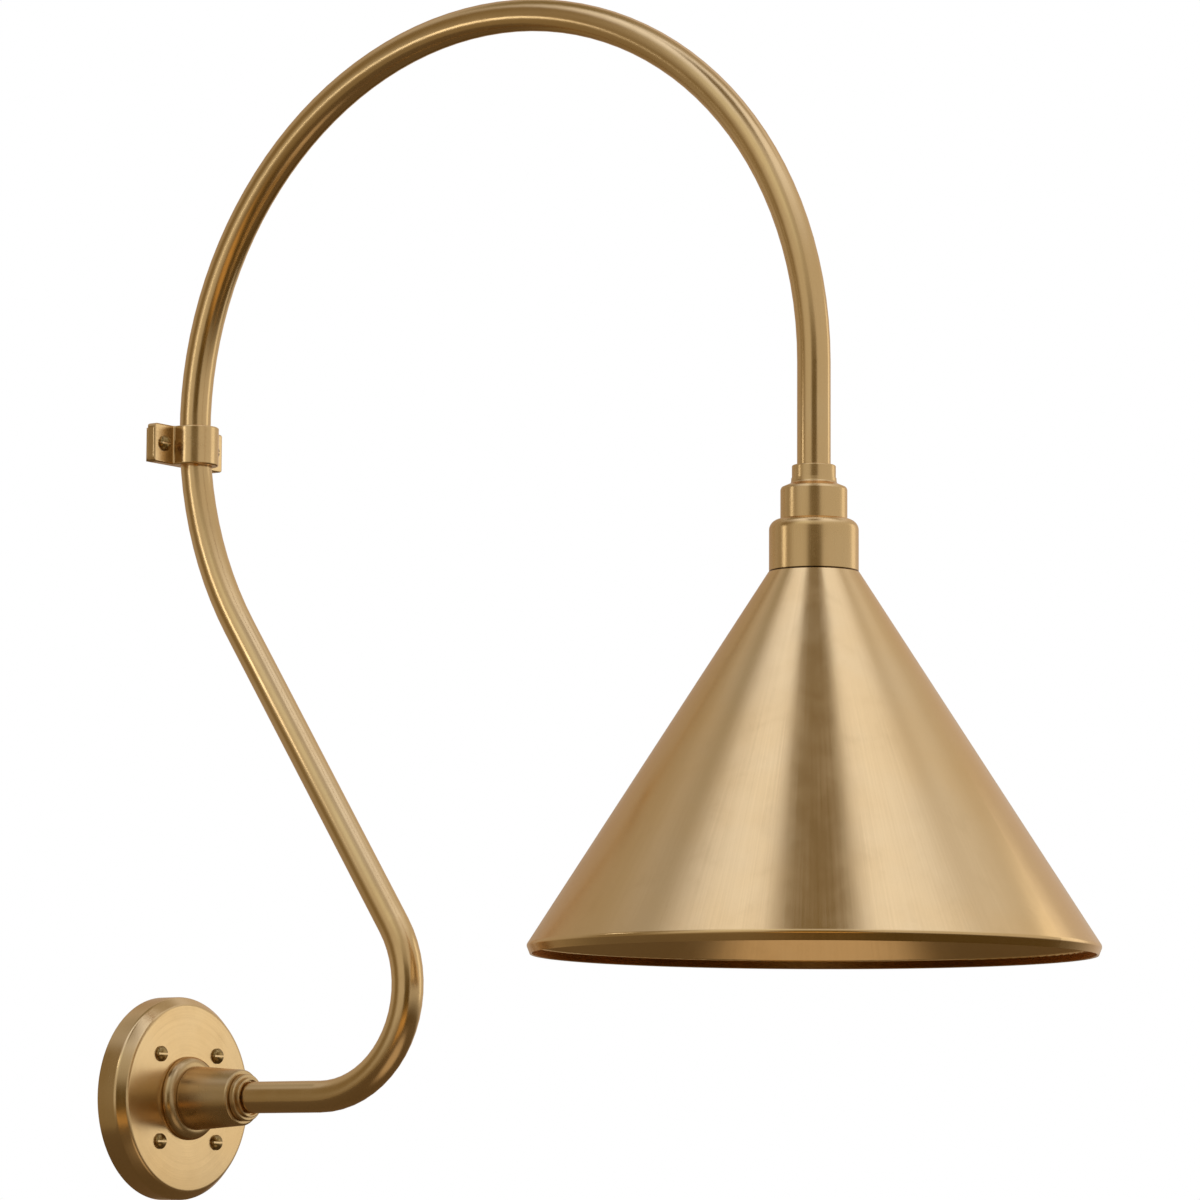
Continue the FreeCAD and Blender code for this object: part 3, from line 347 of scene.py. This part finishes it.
cap_plastic = plain_metal("cap_plastic", (0.72, 0.30, 0.05), (0.50, 0.19, 0.03), 0.42, metallic=0.0)
black_cover = wire_cover("black_cover", (0.02, 0.02, 0.022), (0.06, 0.06, 0.062))
white_cover = wire_cover("white_cover", (0.78, 0.77, 0.74), (0.55, 0.53, 0.49))
green_cover = wire_cover("green_cover", (0.06, 0.30, 0.09), (0.12, 0.20, 0.09))

finishes = {
    "wall_plate": plate_brass, "hub_base_ring": shaded_hub_brass, "hub_body": shaded_hub_brass,
    "arm_lock_ring": shaded_hub_brass, "plate_screws": plate_screw_brass, "gooseneck_arm": arm_brass,
    "clip_base": clip_brass, "clip_saddle": clip_brass, "clip_screws": clip_screw_brass,
    "arm_end_collar": tier_brass, "socket_neck": tier_brass, "socket_cup": tier_brass,
    "shade": cone_brass,
    "mounting_plate": zinc_steel, "mount_nuts": zinc_steel, "hub_washer": zinc_steel,
    "hub_lock_nut": zinc_steel, "earth_screw": earth_green, "cap_earth_screw": earth_green,
    "lead_live": black_cover, "lead_neutral": white_cover, "lead_earth": green_cover,
    "wire_connectors": cap_plastic,
    "head_nipple": zinc_steel, "head_lock_nut": zinc_steel, "holder_cap": plain_brass,
    "holder_screws": plain_brass, "terminal_plates": plain_brass, "terminal_screws": plain_brass,
    "screw_shell": plain_brass, "centre_contact": plain_brass, "shade_ring": plain_brass,
    "lampholder_body": porcelain(), "bulb_glass": opal_glass(), "bulb_cap": bright_cap,
    "bulb_insulator": black_glass, "bulb_contact": solder,
}
for node_name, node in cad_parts.items():
    node.data.materials.clear()
    node.data.materials.append(finishes[node_name])


# ---------------------------------------------------------------- shaping helpers
one_spot = 0.000002        # points nearer than this are one


def start_clean():
    """Leaves edit mode and deselects everything, the frame's nodes among them."""
    if bpy.context.object and bpy.context.object.mode != "OBJECT":
        bpy.ops.object.mode_set(mode="OBJECT")
    bpy.ops.object.select_all(action="DESELECT")


def only(piece):
    """Makes the piece the one thing that the next operator acts on."""
    start_clean()
    piece.select_set(True)
    bpy.context.view_layer.objects.active = piece


def pick(piece, part, test):
    """Selects the vertices, edges or faces of the piece that pass the test, and nothing else."""
    only(piece)
    bpy.ops.object.mode_set(mode="EDIT")
    bpy.ops.mesh.select_mode(type={"vertices": "VERT", "edges": "EDGE", "polygons": "FACE"}[part])
    bpy.ops.mesh.select_all(action="DESELECT")
    bpy.ops.object.mode_set(mode="OBJECT")
    for item in getattr(piece.data, part):
        item.select = test(item)
    bpy.ops.object.mode_set(mode="EDIT")


def close_up(piece):
    """Merges what lies on one spot and turns every face outwards."""
    only(piece)
    bpy.ops.object.mode_set(mode="EDIT")
    bpy.ops.mesh.select_mode(type="VERT")
    bpy.ops.mesh.select_all(action="SELECT")
    bpy.ops.mesh.remove_doubles(threshold=one_spot)
    bpy.ops.mesh.normals_make_consistent(inside=False)
    bpy.ops.object.mode_set(mode="OBJECT")


def turned(name, corners, steps):
    """A ring of points drawn from corner to corner of the (radius, height) outline, as on a lathe."""
    start_clean()
    radius, height = corners[0]
    bpy.ops.mesh.primitive_circle_add(vertices=steps, radius=radius, location=(0, 0, height))
    piece = bpy.context.active_object
    piece.name = name
    bpy.ops.object.transform_apply(location=True, rotation=False, scale=False)
    bpy.ops.object.mode_set(mode="EDIT")
    bpy.ops.mesh.select_mode(type="VERT")
    bpy.ops.mesh.select_all(action="SELECT")
    for next_radius, next_height in corners[1:]:
        bpy.ops.mesh.extrude_region_move(TRANSFORM_OT_translate={"value": (0, 0, next_height - height)})
        if next_radius == 0:
            bpy.ops.mesh.merge(type="CENTER")
            break
        share = next_radius / radius
        bpy.ops.transform.resize(value=(share, share, 1), center_override=(0, 0, next_height))
        radius, height = next_radius, next_height
    bpy.ops.object.mode_set(mode="OBJECT")
    close_up(piece)
    return piece


def rounded(before, corner, after, radius, steps=8):
    """Points of the arc that takes the place of one corner of an outline."""
    before, corner, after = Vector(before), Vector(corner), Vector(after)
    back = (before - corner).normalized()
    ahead = (after - corner).normalized()
    half = back.angle(ahead) / 2
    centre = corner + (back + ahead).normalized() * radius / math.sin(half)
    first = corner + back * radius / math.tan(half) - centre
    last = corner + ahead * radius / math.tan(half) - centre
    spokes = [first.lerp(last, step / steps).normalized() for step in range(steps + 1)]
    return [tuple(centre + spoke * radius) for spoke in spokes]


def settle(piece, place, angle=40.0):
    """Moves the finished piece to its place and leaves that place in its mesh."""
    only(piece)
    piece.location = place
    bpy.ops.object.transform_apply(location=True, rotation=True, scale=True)
    bpy.ops.object.shade_smooth_by_angle(angle=math.radians(angle))


def hand_over(piece, body, finish, node):
    """Gives the piece its finish and its body, and hides the frame's node that it stands for."""
    piece.data.materials.clear()
    piece.data.materials.append(finish)
    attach(piece, body)
    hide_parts(node)


def use_modifier(piece, kind, **settings):
    """Adds one modifier to the piece and applies it."""
    only(piece)
    modifier = piece.modifiers.new(kind.lower(), kind)
    for key, value in settings.items():
        setattr(modifier, key, value)
    bpy.ops.object.modifier_apply(modifier=modifier.name)


# ---------------------------------------------------------------- rolled threads
thread_pitch = 0.003629
wave_cuts = 9
round_steps = 56


def wave_strip(name, foot_z, crest_r, depth):
    """One pitch of thread outline: the edge of a plane, cut up and drawn in to the root at its middle."""
    start_clean()
    bpy.ops.mesh.primitive_plane_add(size=thread_pitch, rotation=(math.radians(90), 0, 0),
                                     location=(crest_r - thread_pitch / 2, 0, foot_z + thread_pitch / 2))
    strip = bpy.context.active_object
    strip.name = name
    bpy.ops.object.transform_apply(location=True, rotation=True, scale=False)
    pick(strip, "vertices", lambda corner: corner.co.x < crest_r - thread_pitch / 2)
    bpy.ops.mesh.delete(type="VERT")
    bpy.ops.mesh.select_all(action="SELECT")
    bpy.ops.mesh.subdivide(number_cuts=wave_cuts)
    same_height = 0.00005
    for cut in range(1, wave_cuts + 1):
        height = foot_z + thread_pitch * cut / (wave_cuts + 1)
        pick(strip, "vertices", lambda corner: abs(corner.co.z - height) < same_height)
        sunk = depth * (0.5 - 0.5 * math.cos(math.tau * cut / (wave_cuts + 1)))
        bpy.ops.transform.translate(value=(-sunk, 0, 0))
    bpy.ops.object.mode_set(mode="OBJECT")
    return strip


def rolled_thread(name, foot_z, top_z, crest_r, depth, wall):
    """Thin sleeve rolled into a round thread, one wave for each pitch, open at both ends."""
    sleeve = wave_strip(name, foot_z, crest_r, depth)
    turns = int((top_z - foot_z) / thread_pitch) - 1
    use_modifier(sleeve, "SCREW", axis="Z", angle=math.tau, steps=round_steps, render_steps=round_steps,
                 screw_offset=thread_pitch, iterations=turns, use_merge_vertices=True,
                 merge_threshold=one_spot)
    close_up(sleeve)
    outward = sum(face.normal.xy.dot(face.center.xy) for face in sleeve.data.polygons)
    if outward < 0:
        only(sleeve)
        bpy.ops.object.mode_set(mode="EDIT")
        bpy.ops.mesh.select_all(action="SELECT")
        bpy.ops.mesh.flip_normals()
        bpy.ops.object.mode_set(mode="OBJECT")
    use_modifier(sleeve, "SOLIDIFY", thickness=wall, offset=-1.0)
    return sleeve


def thin_wall(name, corners, wall):
    """Spun sheet of the given outline, with its thickness inside it."""
    sheet = turned(name, corners, round_steps)
    use_modifier(sheet, "SOLIDIFY", thickness=wall, offset=-1.0)
    return sheet


def joined(first, *others):
    """Puts the other shells into the first piece's mesh."""
    only(first)
    for other in others:
        other.select_set(True)
    bpy.ops.object.join()
    return first


def bulb_screw_cap():
    """Bulb cap: plain skirt at the glass, rolled thread, and the drawn-in end round the black glass."""
    foot, top = 0.26892, 0.29142
    cap_wall = 0.0003
    thread = rolled_thread("bulb_screw_cap", foot + 0.0012, top - 0.0022, 0.0131, 0.00085, cap_wall)
    end = thin_wall("bulb_cap_end", [
        (0.0123, foot + 0.0052), (0.0123, top - 0.0042), (0.0124, top - 0.0030), (0.0119, top - 0.0022),
        (0.0105, top - 0.0016), (0.0085, top - 0.0008), (0.0066, top - 0.0002), (0.0060, top - 0.0002)],
        cap_wall)
    skirt = thin_wall("bulb_cap_skirt", [
        (0.0125, foot), (0.0130, foot + 0.0003), (0.0130, foot + 0.0022), (0.0124, foot + 0.0030),
        (0.0124, foot + 0.0060)], cap_wall)
    settle(joined(thread, end, skirt), (head_x, 0, 0))
    hand_over(thread, "bulb", bright_cap, "bulb_cap")


def socket_thread():
    """Brass sleeve in the porcelain with the thread the bulb runs in, and its drawn-in end."""
    foot, top = 0.27202, 0.29752
    sleeve = rolled_thread("socket_sleeve", foot, top - 0.001, 0.01395, 0.0004, 0.00025)
    end = turned("sleeve_end", [
        (0.01395, foot + 0.020), (0.01395, top - 0.0008), (0.0136, top - 0.0002), (0.0090, top - 0.0002),
        (0.0090, top - 0.0006), (0.0134, top - 0.0006), (0.0136, top - 0.0011), (0.0136, foot + 0.020),
        (0.01395, foot + 0.020)], round_steps)
    settle(joined(sleeve, end), (head_x, 0, 0))
    hand_over(sleeve, "fixture", plain_brass, "screw_shell")


# ---------------------------------------------------------------- rings and caps
def press_in(piece, test, thin, share):
    """Draws the faces that pass the test in towards the piece's axis, each inside its own narrow border."""
    pick(piece, "polygons", test)
    bpy.ops.mesh.inset(thickness=thin, use_even_offset=True)
    bpy.ops.transform.resize(value=(share, share, 1.0), center_override=(0, 0, 0))
    bpy.ops.object.mode_set(mode="OBJECT")


def ribbed_shade_ring():
    """Ring nut under the shade's flange, with finger ribs all round."""
    low, high = 0.28502, 0.29002
    inner, outer = 0.0193, 0.0235
    ring = turned("shade_ring_nut", [
        (inner, low + 0.0004), (inner + 0.0004, low), (outer - 0.0012, low), (outer - 0.0004, low + 0.0006),
        (outer, low + 0.0012), (outer, high - 0.0012), (outer - 0.0004, high - 0.0006),
        (outer - 0.0008, high), (inner, high), (inner, low + 0.0004)], 144)
    ribs, groove_share = 48, 0.32

    def in_groove(face):
        turn = math.atan2(face.center.y, face.center.x) / math.tau * ribs
        return face.center.xy.length > outer - 0.0003 and turn - math.floor(turn) < groove_share

    press_in(ring, in_groove, 0.00008, 0.97)
    settle(ring, (head_x, 0, 0), 50.0)
    hand_over(ring, "fixture", plain_brass, "shade_ring")


def hub_bead():
    """Rounded bead where the boss meets the wall plate."""
    back, front = plate_face_x, 0.0264
    outer, inner, bore = 0.0253, 0.0196, 0.0101
    straight, arc_steps = 0.0007, 13
    swell = front - back - straight
    corners = [(bore, back), (outer - 0.0009, back), (outer - 0.0003, back + 0.0003)]
    for step in range(arc_steps + 1):
        turn = math.radians(90 * step / arc_steps)
        corners.append((inner + (outer - inner) * math.cos(turn), back + straight + swell * math.sin(turn)))
    corners += [(bore, front), (bore, back)]
    bead = turned("hub_bead", corners, 128)
    bead.rotation_euler = (0, math.radians(90), 0)
    settle(bead, (0, 0, 0), 35.0)
    hand_over(bead, "fixture", shaded_hub_brass, "hub_base_ring")


def dished_wall_plate():
    """Hollow turned dish: straight side, soft shoulder, bevel, and the flat face round the boss."""
    side_r, face_r, inside_r, bore = 0.0615, 0.0566, 0.0590, 0.0102
    shoulder, face, ceiling = 0.014, 0.020, 0.0175
    plate = turned("dished_wall_plate", [
        (inside_r, 0.0), (side_r - 0.0005, 0.0), (side_r, 0.0005),
        *rounded((side_r, 0.0), (side_r, shoulder), (face_r, face), 0.0035),
        *rounded((side_r, shoulder), (face_r, face), (bore, face), 0.0030),
        (bore, face), (bore, ceiling), (face_r - 0.0016, ceiling), (inside_r, shoulder - 0.0012),
        (inside_r, 0.0)], 192)
    plate.rotation_euler = (0, math.radians(90), 0)
    settle(plate, (0, 0, 0), 25.0)
    hand_over(plate, "fixture", plate_brass, "wall_plate")


def clip_base_block():
    """The clip's base with its two corners at the wall taken off."""
    block = bpy.data.objects.new("clip_base_block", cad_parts["clip_base"].data.copy())
    bpy.context.scene.collection.objects.link(block)
    close_up(block)
    cut_y = 0.0252         # where the slanting cut meets the wall
    for turn in (-1, 1):
        only(block)
        bpy.ops.object.mode_set(mode="EDIT")
        bpy.ops.mesh.select_all(action="SELECT")
        bpy.ops.mesh.bisect(plane_co=(0, turn * cut_y, clip_z), plane_no=(-1, turn, 0),
                            use_fill=True, clear_outer=True)
        bpy.ops.object.mode_set(mode="OBJECT")
    settle(block, (0, 0, 0), 30.0)
    hand_over(block, "fixture", clip_brass, "clip_base")


def twist_caps():
    """Three twist-on wire caps with grip ribs, the second and third copied from the first."""
    length, mouth_r, tip_r = 0.017, 0.0042, 0.0030
    ribs, groove_share = 12, 0.5
    cap = turned("twist_cap_1", [
        (0.0006, 0.0090), (0.00125, 0.0088), (0.00125, 0.0002), (0.0015, 0.0), (mouth_r - 0.0004, 0.0),
        (mouth_r, 0.0004), (mouth_r, 0.0030), (mouth_r - 0.0002, 0.0034), (tip_r + 0.0004, length - 0.0028),
        (tip_r, length - 0.0014), (tip_r - 0.0007, length - 0.0004), (tip_r - 0.0016, length),
        (0.0, length)], 72)
    pick(cap, "edges", lambda edge: False)
    bpy.ops.mesh.select_non_manifold()
    bpy.ops.mesh.edge_face_add()
    bpy.ops.object.mode_set(mode="OBJECT")
    close_up(cap)

    def between_ribs(face):
        turn = math.atan2(face.center.y, face.center.x) / math.tau * ribs
        on_side = 0.0036 < face.center.z < length - 0.0030 and face.center.xy.length > 0.002
        return on_side and turn - math.floor(turn) < groove_share

    press_in(cap, between_ribs, 0.00008, 0.9)
    mouth, centre_x = 0.0211, 0.0065
    caps = [cap]
    for number in (2, 3):
        twin = cap.copy()
        twin.data = cap.data.copy()
        twin.name = "twist_cap_%d" % number
        bpy.context.scene.collection.objects.link(twin)
        caps.append(twin)
    turns = [(math.radians(90), 0, 0), (math.radians(-90), 0, 0), (math.radians(180), 0, 0)]
    places = [(centre_x, -mouth, 0), (centre_x, mouth, 0), (centre_x, 0, -mouth)]
    for piece, turn, place in zip(caps, turns, places):
        piece.rotation_euler = turn
        settle(piece, place, 35.0)
        hand_over(piece, "fixture", cap_plastic, "wire_connectors")


bulb_screw_cap()
socket_thread()
ribbed_shade_ring()
hub_bead()
dished_wall_plate()
clip_base_block()
twist_caps()


# ---------------------------------------------------------------- studio
view_turn = math.radians(35.7798)
view_rise = math.radians(6.7390)
view_roll = math.radians(0.28193)
view_from = Vector((2.11681, -2.48457, -0.07687))
lens = 159.377
floor_z = -0.42


overhead_white = (1.19, 1.22, 1.40)
front_cream = (0.86, 0.84, 0.74)
right_cream = (0.66, 0.60, 0.52)
left_cream = (0.64, 0.58, 0.49)
back_cream = (0.48, 0.41, 0.32)
back_olive = (0.26, 0.21, 0.11)
left_brown = (0.25, 0.18, 0.09)
gap_bronze = (0.20, 0.143, 0.062)
gap_umber = (0.10, 0.062, 0.012)
low_tan = (0.28, 0.21, 0.12)
low_umber = (0.10, 0.062, 0.018)
lip_orange = (0.72, 0.41, 0.13)
mirrored_floor = (0.20, 0.14, 0.07)
# glow of the painted pool of light on the floor
painted_light_pool = (0.50, 0.39, 0.28)
lamp_white = (1.0, 0.97, 0.92)
white = (1.0, 1.0, 1.0)
black = (0.0, 0.0, 0.0)


def studio_camera():
    """Stands the camera where the photo was taken from; gives the ways to its right and back to it."""
    ahead = Vector((-math.sin(view_turn), math.cos(view_turn), 0))
    side = Vector((math.cos(view_turn), math.sin(view_turn), 0))
    up = Vector((0, 0, 1))
    forward = ahead * math.cos(view_rise) + up * math.sin(view_rise)
    crown = up * math.cos(view_rise) - ahead * math.sin(view_rise)
    right = side * math.cos(view_roll) + crown * math.sin(view_roll)
    top = crown * math.cos(view_roll) - side * math.sin(view_roll)
    data = bpy.data.cameras.new("studio_camera")
    data.lens = lens
    data.sensor_width = 36.0
    data.clip_end = 50.0
    camera = bpy.data.objects.new("studio_camera", data)
    bpy.context.scene.collection.objects.link(camera)
    turn = Matrix((right, top, -forward)).transposed().to_4x4()
    camera.matrix_world = Matrix.Translation(view_from) @ turn
    bpy.context.scene.camera = camera
    return side, -ahead


def studio_world(side, toward):
    """White to the eye. The metal mirrors two pale sides, a dim gap between them and a darker back."""
    world = bpy.data.worlds.new("studio_world")
    bpy.context.scene.world = world
    world.use_nodes = True
    sky = Wiring(world.node_tree)
    sky.nodes.clear()
    place = sky.add("ShaderNodeTexCoord").outputs["Generated"]
    across = sky.vector("DOT_PRODUCT", place, side)
    front = sky.vector("DOT_PRODUCT", place, toward)
    height = sky.vector("DOT_PRODUCT", place, Vector((0, 0, 1)))
    off_middle = sky.math("ABSOLUTE", across)

    # the two sides, white overhead; the left one is brown between its pale back and its pale front
    left_low = sky.mix(sky.ramp(front, -0.40, 0.0), back_cream, left_brown)
    left_low = sky.mix(sky.ramp(front, 0.20, 0.60), left_low, left_cream)
    front_fill = sky.math("MULTIPLY", sky.ramp(front, 0.40, 0.60), sky.ramp(height, 0.35, 0.52))
    left_low = sky.mix(front_fill, left_low, front_cream)
    left_wall = sky.mix(sky.ramp(height, 0.60, 0.95), left_low, overhead_white)
    right_wall = sky.mix(sky.ramp(height, 0.52, 0.95), right_cream, overhead_white)
    room = sky.mix(sky.ramp(across, -0.25, 0.25), left_wall, right_wall)

    # the darker back, high up
    behind = sky.math("MULTIPLY", sky.ramp(front, 0.06, -0.16), sky.ramp(height, 0.68, 0.84))
    back_tone = sky.mix(sky.ramp(across, -0.3, 0.3), back_olive, back_cream)
    room = sky.mix(behind, room, back_tone)

    # the dim gap between the sides, faint at mid height
    faint = 0.35
    from_gap = sky.math("ADD", off_middle, sky.ramp(height, 0.12, 0.50, 0.0, 0.115))
    gap = sky.math("MULTIPLY", sky.ramp(from_gap, 0.26, 0.37, 1.0, 0.0), sky.ramp(front, 0.05, 0.28))
    gap_depth = sky.math("MAXIMUM", sky.ramp(height, 0.34, 0.16, faint, 1.0),
                         sky.ramp(height, 0.74, 0.90, faint, 1.0))
    gap_tone = sky.mix(sky.ramp(height, -0.1, 0.5), gap_umber, gap_bronze)
    room = sky.mix(sky.math("MULTIPLY", gap, gap_depth), room, gap_tone)

    # the dark below, and the orange light that the rolled lip picks up
    low_tone = sky.mix(sky.ramp(across, -0.60, 0.0), low_tan, low_umber)
    room = sky.mix(sky.ramp(height, -0.02, -0.35), room, low_tone)
    lip_glow = sky.math("MULTIPLY", sky.ramp(height, -0.20, -0.32), sky.ramp(height, -0.58, -0.46))
    lip_glow = sky.math("MULTIPLY", lip_glow, sky.ramp(off_middle, 0.40, 0.18))
    lip_glow = sky.math("MULTIPLY", lip_glow, sky.ramp(front, 0.70, 0.85))
    room = sky.mix(lip_glow, room, lip_orange)

    mirrored = sky.add("ShaderNodeBackground")
    sky.feed(mirrored.inputs["Color"], room)
    seen = sky.add("ShaderNodeBackground")
    sky.feed(seen.inputs["Color"], white)
    rays = sky.add("ShaderNodeLightPath")
    choose = sky.add("ShaderNodeMixShader")
    sky.feed(choose.inputs[0], rays.outputs["Is Camera Ray"])
    sky.feed(choose.inputs[1], mirrored.outputs[0])
    sky.feed(choose.inputs[2], seen.outputs[0])
    sky.feed(sky.add("ShaderNodeOutputWorld").inputs["Surface"], choose.outputs[0])


def softbox(name, place, aim, wide, tall, power):
    """Flat warm lamp of the given size in metres, turned to its aim."""
    data = bpy.data.lights.new(name, "AREA")
    data.shape = "RECTANGLE"
    data.size = wide
    data.size_y = tall
    data.energy = power
    data.color = lamp_white
    lamp = bpy.data.objects.new(name, data)
    bpy.context.scene.collection.objects.link(lamp)
    lamp.visible_camera = False
    lamp.location = place
    lamp.rotation_euler = (Vector(aim) - Vector(place)).to_track_quat("-Z", "Y").to_euler()


def studio_floor():
    """Pale round floor below the sconce. The metal mirrors it dark, with a painted pool of warm light under
    the shade that only mirrored rays see.
    """
    bpy.ops.object.select_all(action="DESELECT")
    bpy.ops.mesh.primitive_circle_add(vertices=96, radius=1.1, fill_type="NGON",
                                      location=(0.1, 0.25, floor_z))
    floor = bpy.context.active_object
    floor.name = "studio_floor"
    bpy.ops.object.transform_apply(location=True, rotation=False, scale=False)
    finish = Finish("pale_floor")
    grain = finish.noise(finish.place, 3.0, detail=2.0)
    seen = finish.add("ShaderNodeLightPath").outputs["Is Camera Ray"]
    pale = finish.mix(grain, (0.90, 0.90, 0.90), (0.88, 0.88, 0.875))
    finish.set("Base Color", finish.mix(seen, mirrored_floor, pale))
    # painted light: a warm glow round a spot under the shade, seen only in reflections
    from_painted_pool = finish.vector("LENGTH", finish.centred(head_x + 0.05, -0.10, floor_z))
    painted_pool = finish.mix(finish.ramp(from_painted_pool, 0.17, 0.32, 1.0, 0.0), black, painted_light_pool)
    finish.set("Emission Color", finish.mix(seen, painted_pool, black))
    finish.set("Emission Strength", 1.0)
    finish.set("Roughness", 0.9)
    floor.data.materials.append(finish.material)


side, toward = studio_camera()
studio_world(side, toward)
head_foot = Vector((head_x, 0, 0))
left_strip = head_foot - side * 0.895 + toward * 0.10 + Vector((0, 0, 0.435))
softbox("left_strip", left_strip, Vector((head_x, 0, 0.33)), wide=0.15, tall=0.14, power=0.145)
right_box = head_foot + side * 1.0 - toward * 0.58 + Vector((0, 0, 0.35))
softbox("right_box", right_box, Vector((0.02, 0, 0.2)), wide=0.44, tall=0.9, power=0.70)
studio_floor()

# ---------------------------------------------------------------- end
bpy.context.scene.view_settings.view_transform = "Standard"
